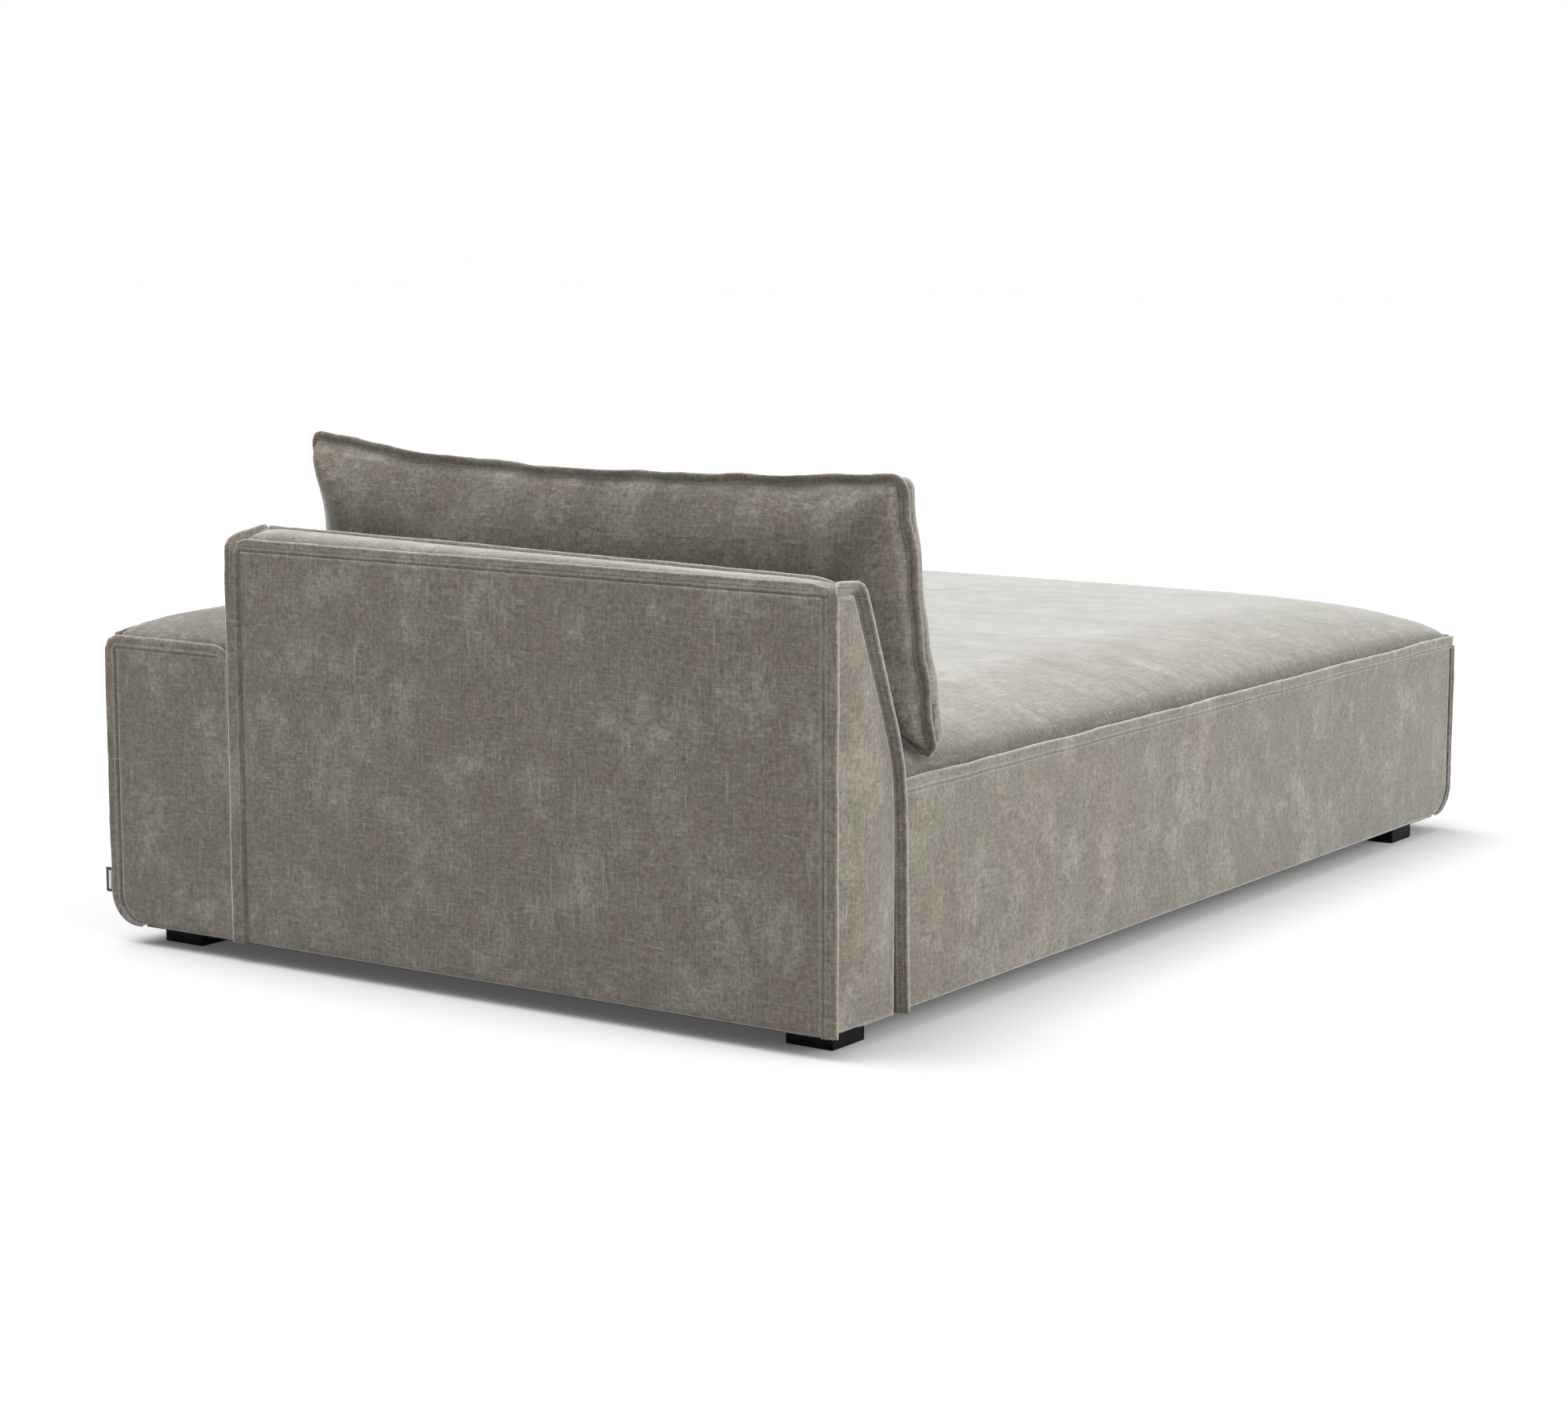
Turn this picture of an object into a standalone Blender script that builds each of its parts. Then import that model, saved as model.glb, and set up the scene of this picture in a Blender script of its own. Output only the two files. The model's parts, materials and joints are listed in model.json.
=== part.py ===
"""Upholstered daybed with one low arm, a wedge-shaped back and a loose back cushion.

Run with blender --background --python part.py, or from Blender's text editor.
Metres, +Z up. The origin is on the floor, under the middle of the whole outline.
The foot end faces -Y, the back stands at +Y and the arm is on the +X side.
"""

import math

import bmesh
import bpy
from mathutils import Matrix, Vector

# Outline of the three upholstered blocks
FREE_SIDE = -0.672          # outer face of the seat and back, on the side without an arm
ARM_INNER = 0.403           # face of the arm that looks at the seat
ARM_OUTER = 0.668           # outer face of the arm and of the seat in front of it
FRONT = -1.050              # foot end of the seat
REAR = 1.050                # rear face of the back and of the arm
ARM_FRONT = 0.0             # the arm covers the rear half of the side
BACK_FRONT = 0.868          # front face of the back, below seat level
MODULE_GAP = 0.0010         # between the seat, back and arm blocks

# Heights
BASE = 0.0300               # underside of the upholstery
SEAT_SEAM = 0.3460          # foot of the lip round the seat's top
SEAT_TOP = 0.4200
ARM_SEAM = 0.4740
ARM_TOP = 0.5130
BACK_SLOPE_START = 0.3800   # the back's front face leans from here up
BACK_SLOPE = 0.4050         # metres back for each metre up
BACK_TOP = 0.6560

# Covers
FABRIC = 0.0025
GAP = 0.0003
CORNER_RADIUS = 0.006
INNER_RADIUS = 0.001        # inside a cover's vertical edges, where board ends stand
GROOVE_RADIUS = 0.002       # corners of the groove between a lip and the crown inside it
COVER_SHOULDER = 0.004      # above the seam, where a cover's inside turns in under the crown
PAD_SHOULDER = 0.003
CROWN = ((0.010, 0.46), (0.025, 0.66), (0.055, 0.81), (0.115, 0.95))    # inset, part of the rise
CROWN_CAP = 0.130           # inset of the flat middle
CORNER_STEPS = 3
LIP_HEIGHT = 0.017
FIN_WIDTH = 0.020           # how far the back's end lips stand out sideways
ARM_FIN_WIDTH = 0.016
FIN_THICKNESS = 0.005
SEAT_TOE_RADIUS = 0.060     # rounded lower edge at the foot end
ARM_TOE_RADIUS = 0.050      # rounded lower edge along the arm's outer side
TOE_STEPS = 5

# Frame
SKIN = FABRIC + 2 * GAP     # from a cover's outer face to the board behind it
RAIL = 0.024                # thickness of the seat's rails
BOARD = 0.018               # thickness of the arm's boards
POST = 0.022
PANEL = 0.009
RAIL_FOOT = 0.0330
RAIL_TOP = 0.2150
LOW_RAIL_TOP = 0.1500       # cross rails stay clear of the sagging webbing
WEBBING_WIDTH = 0.070
WEBBING_THICKNESS = 0.0020
WEBBING_ROWS = (-0.92, -0.70, -0.48, -0.26, 0.16, 0.40, 0.64)
DUST_COVER_FOOT = 0.0305
DUST_COVER = 0.0010
FOOT_BLOCK_TOP = 0.0830
FOOT_BLOCK = 0.090
BACK_RAIL_FOOT = 0.5800     # rail along the top of the back
BACK_RAIL_DEPTH = 0.030
BACK_PAD = 0.048            # padding over the slope
BACK_HEAD_PAD = 0.020       # padding over the top rail
BACK_LEG_PAD = 0.022        # padding in front of the posts, below the slope
POST_SHOULDER = 0.040       # from the start of the slope down to where a post turns vertical
ARM_BOARD_TOP = 0.4300

# Feet
FOOT = 0.080
FOOT_HEIGHT = 0.0297
FOOT_BEVEL = 0.0020
STUD_RADIUS = 0.0040
STUD_TOP = 0.0750
HOLE_CLEARANCE = 0.0004
FEET = {
    "foot_rear_free": (-0.610, 0.957),
    "foot_rear_arm": (0.573, 0.965),
    "foot_front_free": (-0.615, -0.8825),
    "foot_front_arm": (0.606, -0.8825),
    "foot_centre": (-0.130, ARM_FRONT - MODULE_GAP - SKIN - RAIL / 2),
}

# Steel plates that join the back and the arm to the seat, from below
PLATE_WIDTH = 0.040
PLATE_OVERHANG = 0.014
PLATE_FOOT = 0.0270
PLATE_THICKNESS = 0.0025
SCREW_RADIUS = 0.0025
SCREW_HEAD_RADIUS = 0.0050
SCREW_HEAD = 0.0024
SCREW_TOP = 0.0600
ROUND_STEPS = 20

# Loose cushion, in its own leaning frame
CUSHION_CENTRE = (-0.140, 0.8195, 0.6120)
CUSHION_LEAN = math.radians(11)
CUSHION_WIDTH = 1.070
CUSHION_HEIGHT = 0.380
CUSHION_LIP = 0.0165
CUSHION_CORNER = 0.020
# inset from the outline, and half of the thickness there
CUSHION_PROFILE = (
    (CUSHION_LIP, 0.0035), (0.017, 0.012), (0.025, 0.045), (0.050, 0.074), (0.090, 0.089), (0.130, 0.092),
)
ZIP_HEIGHT = -0.120
ZIP_HALF_LENGTH = 0.400
ZIP_HALF_WIDTH = 0.006
ZIP_DEPTH = 0.0812
ZIP_TAPE = 0.0020
SLIDER_LENGTH = 0.014
SLIDER_HALF_HEIGHT = 0.0045
SLIDER_DEPTH = 0.0044
SLIDER_PULL = 0.028         # how far the pull hangs below the zip
SLIDER_PULL_THICKNESS = 0.0012

LOOKS = {
    "fabric": ((0.36, 0.34, 0.30), 0.9, 0.0),
    "tag_fabric": ((0.05, 0.05, 0.05), 0.8, 0.0),
    "foam": ((0.80, 0.76, 0.62), 0.95, 0.0),
    "fibre": ((0.86, 0.86, 0.84), 1.0, 0.0),
    "wood": ((0.62, 0.45, 0.28), 0.7, 0.0),
    "board": ((0.45, 0.33, 0.22), 0.8, 0.0),
    "webbing": ((0.10, 0.10, 0.11), 0.9, 0.0),
    "felt": ((0.03, 0.03, 0.03), 1.0, 0.0),
    "foot_plastic": ((0.015, 0.015, 0.015), 0.5, 0.0),
    "steel": ((0.60, 0.60, 0.60), 0.35, 1.0),
}


def clear_scene():
    for item in list(bpy.data.objects):
        bpy.data.objects.remove(item, do_unlink=True)


def look(name, kind):
    """A material of its own for one piece."""
    colour, roughness, metallic = LOOKS[kind]
    material = bpy.data.materials.new(name)
    material.use_nodes = True
    shader = material.node_tree.nodes["Principled BSDF"]
    shader.inputs["Base Color"].default_value = (*colour, 1.0)
    shader.inputs["Roughness"].default_value = roughness
    shader.inputs["Metallic"].default_value = metallic
    return material


def add_piece(name, work, kind, parent=None):
    """Turn finished bmesh work into a named object, with its faces pointing out."""
    bmesh.ops.recalc_face_normals(work, faces=work.faces)
    mesh = bpy.data.meshes.new(name)
    work.to_mesh(mesh)
    work.free()
    piece = bpy.data.objects.new(name, mesh)
    bpy.context.collection.objects.link(piece)
    piece.parent = parent
    if kind:
        mesh.materials.append(look(name, kind))
    else:
        piece.hide_render = True
        piece.display_type = "WIRE"
    return piece


def loft(name, rings, kind, parent=None):
    """Closed body through outlines with equal numbers of points, capped at both ends."""
    work = bmesh.new()
    loops = [[work.verts.new(point) for point in outline] for outline in rings]
    for lower, upper in zip(loops, loops[1:]):
        for index in range(len(lower)):
            after = (index + 1) % len(lower)
            work.faces.new((lower[index], lower[after], upper[after], upper[index]))
    work.faces.new(loops[0])
    work.faces.new(loops[-1])
    return add_piece(name, work, kind, parent)


def box(name, low, high, kind, parent=None):
    corners = ((low[0], low[1]), (high[0], low[1]), (high[0], high[1]), (low[0], high[1]))
    return loft(name, [[(x, y, z) for x, y in corners] for z in (low[2], high[2])], kind, parent)


def bar(name, outline, axis, start, end, kind, parent=None):
    """Extrude an outline along axis 0 (its points are y, z) or axis 1 (its points are x, z)."""
    rings = []
    for along in (start, end):
        rings.append([(along, a, z) if axis == 0 else (a, along, z) for a, z in outline])
    return loft(name, rings, kind, parent)


def turned(name, profile, centre, kind):
    """Round piece about a vertical axis: profile holds (radius, z) from bottom to top."""
    rings = []
    for radius, z in profile:
        rings.append([
            (
                centre[0] + radius * math.cos(math.tau * step / ROUND_STEPS),
                centre[1] + radius * math.sin(math.tau * step / ROUND_STEPS),
                z,
            )
            for step in range(ROUND_STEPS)
        ])
    piece = loft(name, rings, kind)
    piece.data.shade_smooth()
    piece.data.set_sharp_from_angle(angle=math.radians(35))
    return piece


def boolean(piece, tool, operation):
    change = piece.modifiers.new(operation.title(), "BOOLEAN")
    change.operation = operation
    change.solver = "EXACT"
    change.object = tool


def drill(piece, centre, radius, bottom, top):
    tool = turned(f"{piece.name}_drill", ((radius, bottom), (radius, top)), centre, None)
    boolean(piece, tool, "DIFFERENCE")


def ring(corners, inset, z, radius=CORNER_RADIUS):
    """Outline with square corners, moved inwards by inset and rounded."""
    points = []
    for index, corner in enumerate(corners):
        here = Vector(corner)
        arriving = (here - Vector(corners[index - 1])).normalized()
        leaving = (Vector(corners[(index + 1) % len(corners)]) - here).normalized()
        inward = Vector((-arriving.y - leaving.y, arriving.x + leaving.x))
        centre = here + inset * inward + radius * (leaving - arriving)
        for step in range(CORNER_STEPS + 1):
            angle = math.pi / 2 * step / CORNER_STEPS
            point = centre + radius * (arriving * math.sin(angle) - leaving * math.cos(angle))
            points.append((point.x, point.y, z))
    return points


def toe(radius, inset):
    """Heights and set-backs of a rounded lower edge, from the underside up."""
    steps = []
    for step in range(TOE_STEPS + 1):
        angle = math.pi / 2 * step / TOE_STEPS
        reach = radius - inset
        steps.append((BASE + radius - reach * math.cos(angle), reach * (1 - math.sin(angle))))
    return steps


def toe_line(radius, inset, depth):
    """Points (distance in from the outer face, z) of a board inside a toe, from depth out to inset."""
    reach = (radius - inset) * math.cos(math.pi / 4 / TOE_STEPS)    # clear of the cover's flat facets
    start = math.asin((radius - depth) / reach)
    points = []
    for step in range(TOE_STEPS + 1):
        angle = start + (math.pi / 2 - start) * step / TOE_STEPS
        points.append((radius - reach * math.sin(angle), BASE + radius - reach * math.cos(angle)))
    return points


def rectangle(x0, y0, x1, y1):
    return ((x0, y0), (x1, y0), (x1, y1), (x0, y1))


def seat_outline(set_back=0.0):
    side = ARM_INNER - MODULE_GAP
    rear = BACK_FRONT - MODULE_GAP
    return (
        (FREE_SIDE, FRONT + set_back), (ARM_OUTER, FRONT + set_back), (ARM_OUTER, ARM_FRONT - MODULE_GAP),
        (side, ARM_FRONT - MODULE_GAP), (side, rear), (FREE_SIDE, rear),
    )


def arm_outline(set_back=0.0):
    return rectangle(ARM_INNER, ARM_FRONT, ARM_OUTER - set_back, REAR)


def back_face(z):
    """Y of the back's front face at height z."""
    return BACK_FRONT + BACK_SLOPE * max(0.0, z - BACK_SLOPE_START)


def lip(seam):
    """(inset, z, corner radius) of the stitched lip that stands up round a block's top edge."""
    top = seam + LIP_HEIGHT
    return (
        (0.0, seam, CORNER_RADIUS),
        (0.0, top, CORNER_RADIUS),
        (0.001, top + 0.001, CORNER_RADIUS),
        (0.003, seam + 0.007, GROOVE_RADIUS),
    )


def crown(seam, height):
    """(inset, z) of a padded top, rising steeply from its seam and then flattening."""
    return [(inset, seam + (height - seam) * part) for inset, part in CROWN]


def block_cover(name, outline, toe_radius, seam, height):
    """Fabric cover of a block, open below, with a lip round its top and one rounded lower edge."""
    top = crown(seam, height)
    rings = [ring(outline(), CROWN_CAP, height, GROOVE_RADIUS)]
    rings += [ring(outline(), inset, z) for inset, z in reversed(top)]
    rings += [ring(outline(), *step) for step in reversed(lip(seam))]
    rings += [ring(outline(set_back), 0.0, z) for z, set_back in reversed(toe(toe_radius, 0.0))]
    mouth = toe_radius + FABRIC
    rings.append(ring(outline(mouth), FABRIC, BASE, INNER_RADIUS))
    rings += [ring(outline(set_back), FABRIC, z, INNER_RADIUS) for z, set_back in toe(toe_radius, FABRIC)]
    rings.append(ring(outline(), FABRIC, seam + COVER_SHOULDER, INNER_RADIUS))
    rings += [ring(outline(), inset + FABRIC, z - FABRIC) for inset, z in top]
    rings.append(ring(outline(), CROWN_CAP, height - FABRIC, GROOVE_RADIUS))
    return loft(name, rings, "fabric")


def crowned_pad(name, outline, foot, seam, height, kind):
    """Soft pad that fills a cover's crown from foot up."""
    drop = FABRIC + GAP
    rings = [ring(outline(), SKIN, z, INNER_RADIUS) for z in (foot, seam + PAD_SHOULDER)]
    rings += [ring(outline(), inset + drop, z - drop) for inset, z in crown(seam, height)]
    rings.append(ring(outline(), CROWN_CAP, height - drop, GROOVE_RADIUS))
    return loft(name, rings, kind)


def seat_frame():
    free = FREE_SIDE + SKIN
    front = FRONT + SKIN
    rear = BACK_FRONT - MODULE_GAP - SKIN
    arm = ARM_OUTER - SKIN
    notch = ARM_INNER - MODULE_GAP - SKIN
    middle = ARM_FRONT - MODULE_GAP - SKIN
    toe_points = [(FRONT + depth, z) for depth, z in toe_line(SEAT_TOE_RADIUS, SKIN, SKIN + RAIL)]
    outline = [*toe_points, (front, RAIL_TOP), (front + RAIL, RAIL_TOP)]
    bar("seat_front_rail", outline, 0, free, arm, "wood")
    side_start = front + RAIL + GAP
    toe_points = [
        (FRONT + depth, z)
        for depth, z in toe_line(SEAT_TOE_RADIUS, SKIN, SEAT_TOE_RADIUS)
        if FRONT + depth > side_start
    ]
    toe_foot = toe_line(SEAT_TOE_RADIUS, SKIN, SKIN + RAIL + GAP)[0][1]
    outline = [*toe_points, (side_start, toe_foot), (side_start, RAIL_TOP)]
    ends = {"seat_free_side_rail": rear - RAIL - GAP, "seat_arm_side_rail": middle - RAIL - GAP}
    places = {"seat_free_side_rail": (free, free + RAIL), "seat_arm_side_rail": (arm - RAIL, arm)}
    for name, (start, end) in places.items():
        far = ends[name]
        bar(name, [(far, RAIL_TOP), (far, toe_points[0][1]), *outline], 0, start, end, "wood")
    inner = free + RAIL + GAP
    box("seat_middle_rail", (inner, middle - RAIL, RAIL_FOOT), (arm, middle, RAIL_TOP), "wood")
    box("seat_rear_rail", (free, rear - RAIL, RAIL_FOOT), (notch, rear, RAIL_TOP), "wood")
    low = (notch - RAIL, middle + GAP, RAIL_FOOT)
    box("seat_notch_side_rail", low, (notch, rear - RAIL - GAP, RAIL_TOP), "wood")
    for name, y, far in (
        ("seat_cross_rail_front", -0.590, arm - RAIL - GAP),
        ("seat_cross_rail_rear", 0.420, notch - RAIL - GAP),
    ):
        box(name, (inner, y - RAIL / 2, RAIL_FOOT), (far, y + RAIL / 2, LOW_RAIL_TOP), "wood")
    for name, x0, x1 in (
        ("seat_foot_block_free", inner, inner + FOOT_BLOCK),
        ("seat_foot_block_arm", arm - RAIL - GAP - FOOT_BLOCK, arm - RAIL - GAP),
    ):
        y = FEET["foot_front_free"][1]
        box(name, (x0, y - FOOT / 2, RAIL_FOOT), (x1, y + FOOT / 2, FOOT_BLOCK_TOP), "wood")


def seat_suspension():
    margin = 0.006
    for number, y in enumerate(WEBBING_ROWS, 1):
        end = ARM_OUTER if y < ARM_FRONT else ARM_INNER - MODULE_GAP
        low = (FREE_SIDE + SKIN + margin, y - WEBBING_WIDTH / 2, RAIL_TOP + GAP)
        high = (end - SKIN - margin, y + WEBBING_WIDTH / 2, RAIL_TOP + GAP + WEBBING_THICKNESS)
        box(f"seat_webbing_{number}", low, high, "webbing")


def seat_padding():
    foam_foot = RAIL_TOP + WEBBING_THICKNESS + 2 * GAP
    foam_top = SEAT_SEAM - 0.001
    loft("seat_foam", [ring(seat_outline(), SKIN, z, INNER_RADIUS) for z in (foam_foot, foam_top)], "foam")
    crowned_pad("seat_topper", seat_outline, foam_top + GAP, SEAT_SEAM, SEAT_TOP, "fibre")
    block_cover("seat_cover", seat_outline, SEAT_TOE_RADIUS, SEAT_SEAM, SEAT_TOP)
    mouth = SEAT_TOE_RADIUS + FABRIC
    levels = (DUST_COVER_FOOT, DUST_COVER_FOOT + DUST_COVER)
    loft("seat_dust_cover", [ring(seat_outline(mouth), SKIN, z, INNER_RADIUS) for z in levels], "felt")


def back_frame():
    left = FREE_SIDE + SKIN
    right = ARM_INNER - MODULE_GAP - SKIN
    rear = REAR - SKIN
    panel_front = rear - PANEL
    board_top = BACK_TOP - SKIN - BACK_HEAD_PAD
    front = BACK_FRONT + SKIN
    outline = [
        (front + RAIL + GAP, RAIL_FOOT),
        (panel_front - GAP, RAIL_FOOT),
        (panel_front - GAP, BACK_RAIL_FOOT),
        (back_face(BACK_RAIL_FOOT) + SKIN + BACK_PAD, BACK_RAIL_FOOT),
        (back_face(BACK_SLOPE_START) + SKIN + BACK_PAD, BACK_SLOPE_START),
        (front + RAIL + GAP, BACK_SLOPE_START - POST_SHOULDER),
    ]
    middle = (left + right) / 2
    for name, x in (
        ("back_post_free", left),
        ("back_post_middle", middle - POST / 2),
        ("back_post_arm", right - POST),
    ):
        bar(name, outline, 0, x, x + POST, "wood")
    box("back_bottom_rail", (left, front, RAIL_FOOT), (right, front + RAIL, RAIL_TOP), "wood")
    low = (left, panel_front - GAP - BACK_RAIL_DEPTH, BACK_RAIL_FOOT + GAP)
    box("back_top_rail", low, (right, panel_front - GAP, board_top), "wood")
    box("back_rear_panel", (left, panel_front, RAIL_FOOT), (right, rear, board_top), "board")
    block_low = (left + POST + GAP, front + RAIL + GAP, RAIL_FOOT)
    block_high = (left + POST + GAP + FOOT_BLOCK, panel_front - GAP, FOOT_BLOCK_TOP)
    box("back_foot_block", block_low, block_high, "wood")


def back_padding():
    front = BACK_FRONT + SKIN
    rear = REAR - SKIN
    head = BACK_TOP - SKIN
    leg = front + BACK_LEG_PAD
    depth = SKIN + BACK_PAD - GAP - 0.001       # from the cover to the posts, with a little slack
    rail_front = rear - PANEL - BACK_RAIL_DEPTH - 2 * GAP
    outline = [
        (front, RAIL_TOP + GAP),
        (leg, RAIL_TOP + GAP),
        (leg, BACK_SLOPE_START - POST_SHOULDER + GAP),
        (back_face(BACK_SLOPE_START) + depth, BACK_SLOPE_START),
        (back_face(BACK_RAIL_FOOT) + depth, BACK_RAIL_FOOT),
        (rail_front, BACK_RAIL_FOOT + 0.001),
        (rail_front, head - BACK_HEAD_PAD + GAP),
        (rear, head - BACK_HEAD_PAD + GAP),
        (rear, head - 0.016),
        (rear - 0.006, head - 0.004),
        (back_face(head) + 0.020, head - 0.004),
        (back_face(head - 0.025) + SKIN + 0.002, head - 0.025),
        (front + 0.001, BACK_SLOPE_START),
    ]
    bar("back_foam", outline, 0, FREE_SIDE + SKIN, ARM_INNER - MODULE_GAP - SKIN, "foam")


def back_cover():
    levels = (
        # z, extra set-back of the front edge, set-back of the rear edge
        (BACK_TOP, 0.014, 0.008),
        (BACK_TOP - 0.004, 0.006, 0.003),
        (BACK_TOP - 0.014, 0.0, 0.0),
        (BACK_SLOPE_START, 0.0, 0.0),
        (BASE, 0.0, 0.0),
    )
    side = ARM_INNER - MODULE_GAP
    rings = []
    for z, front, rear in levels:
        rings.append(ring(rectangle(FREE_SIDE, back_face(z) + front, side, REAR - rear), 0.0, z))
    for z, front, rear in reversed(levels):
        level = z if z == BASE else z - FABRIC
        outline = rectangle(FREE_SIDE, back_face(z) + front, side, REAR - rear)
        rings.append(ring(outline, FABRIC, level, INNER_RADIUS))
    cover = loft("back_cover", rings, "fabric")
    for name, start, end, foot in (
        ("free_end_lip", FREE_SIDE - FIN_WIDTH, FREE_SIDE + FABRIC / 2, BASE),
        ("arm_end_lip", side - FABRIC / 2, side + ARM_FIN_WIDTH, ARM_TOP + 0.004),
    ):
        boolean(cover, bar(name, end_lip_outline(foot), 0, start, end, None), "UNION")
    levels = (DUST_COVER_FOOT, DUST_COVER_FOOT + DUST_COVER)
    outline = rectangle(FREE_SIDE, BACK_FRONT, side, REAR)
    loft("back_dust_cover", [ring(outline, SKIN, z) for z in levels], "felt")


def end_lip_outline(foot):
    """Cross-section (y, z) of the lip that frames an end of the back, open at the bottom."""
    top = BACK_TOP - 0.001
    knee = max(foot, BACK_SLOPE_START)
    outer = [(REAR, foot), (REAR, top), (back_face(top) + 0.004, top), (back_face(knee), knee)]
    inner = [
        (back_face(knee) + FIN_THICKNESS, knee),
        (back_face(top) + 0.004 + FIN_THICKNESS, top - FIN_THICKNESS),
        (REAR - FIN_THICKNESS, top - FIN_THICKNESS),
        (REAR - FIN_THICKNESS, foot),
    ]
    if foot < BACK_SLOPE_START:
        outer.append((BACK_FRONT, foot))
        inner.insert(0, (BACK_FRONT + FIN_THICKNESS, foot))
    return outer + inner


def arm_frame():
    inner = ARM_INNER + SKIN
    outer = ARM_OUTER - SKIN
    front = ARM_FRONT + SKIN
    rear = REAR - SKIN
    top = ARM_BOARD_TOP
    box("arm_inner_board", (inner, front, RAIL_FOOT), (inner + BOARD, rear, top), "wood")
    toe_points = [(ARM_OUTER - depth, z) for depth, z in toe_line(ARM_TOE_RADIUS, SKIN, SKIN + BOARD)]
    outline = [*toe_points, (outer, top), (outer - BOARD, top)]
    bar("arm_outer_board", outline, 1, front, rear, "wood")
    across = (inner + BOARD + GAP, outer - BOARD - GAP)
    end_foot = toe_points[0][1] + 0.002
    box("arm_front_board", (across[0], front, end_foot), (across[1], front + BOARD, top), "wood")
    box("arm_rear_board", (across[0], rear - BOARD, end_foot), (across[1], rear, top), "wood")
    box("arm_top_board", (inner, front, top + GAP), (outer, rear, top + GAP + BOARD), "wood")
    x, y = FEET["foot_rear_arm"]
    low = (x - 0.060, y - 0.060, RAIL_FOOT)
    box("arm_foot_block", low, (ARM_OUTER - ARM_TOE_RADIUS, rear - BOARD - GAP, FOOT_BLOCK_TOP), "wood")


def arm_padding():
    foot = ARM_BOARD_TOP + BOARD + 2 * GAP
    crowned_pad("arm_foam", arm_outline, foot, ARM_SEAM, ARM_TOP, "foam")
    cover = block_cover("arm_cover", arm_outline, ARM_TOE_RADIUS, ARM_SEAM, ARM_TOP)
    lip_foot = BASE + ARM_TOE_RADIUS + 0.001
    lip_head = ARM_SEAM + LIP_HEIGHT - 0.001
    low = (ARM_OUTER - FABRIC / 2, REAR - FIN_THICKNESS - CORNER_RADIUS, lip_foot)
    high = (ARM_OUTER + ARM_FIN_WIDTH, REAR - CORNER_RADIUS, lip_head)
    boolean(cover, box("arm_rear_lip", low, high, None), "UNION")
    mouth = ARM_TOE_RADIUS + FABRIC
    levels = (DUST_COVER_FOOT, DUST_COVER_FOOT + DUST_COVER)
    loft("arm_dust_cover", [ring(arm_outline(mouth), SKIN, z, INNER_RADIUS) for z in levels], "felt")
    tag_low = (ARM_OUTER + ARM_FIN_WIDTH + GAP, REAR - CORNER_RADIUS - 0.0035, 0.076)
    box("side_tag", tag_low, (ARM_OUTER + 0.024, REAR - CORNER_RADIUS - 0.0020, 0.115), "tag_fabric")


def feet():
    pierced = {
        "foot_rear_free": ("back_foot_block", "back_dust_cover"),
        "foot_rear_arm": ("arm_foot_block", "arm_dust_cover"),
        "foot_front_free": ("seat_foot_block_free", "seat_dust_cover"),
        "foot_front_arm": ("seat_foot_block_arm", "seat_dust_cover"),
        "foot_centre": ("seat_middle_rail", "seat_dust_cover"),
    }
    for name, (x, y) in FEET.items():
        half = FOOT / 2
        block = box(name, (x - half, y - half, 0.0), (x + half, y + half, FOOT_HEIGHT), "foot_plastic")
        bevel = block.modifiers.new("Bevel", "BEVEL")
        bevel.width = FOOT_BEVEL
        bevel.segments = 2
        profile = ((STUD_RADIUS, FOOT_HEIGHT / 2), (STUD_RADIUS, STUD_TOP))
        boolean(block, turned(f"{name}_stud", profile, (x, y), None), "UNION")
        for piece in pierced[name]:
            hole = STUD_RADIUS + HOLE_CLEARANCE
            drill(bpy.data.objects[piece], (x, y), hole, BASE - 0.005, STUD_TOP + 0.003)


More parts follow.
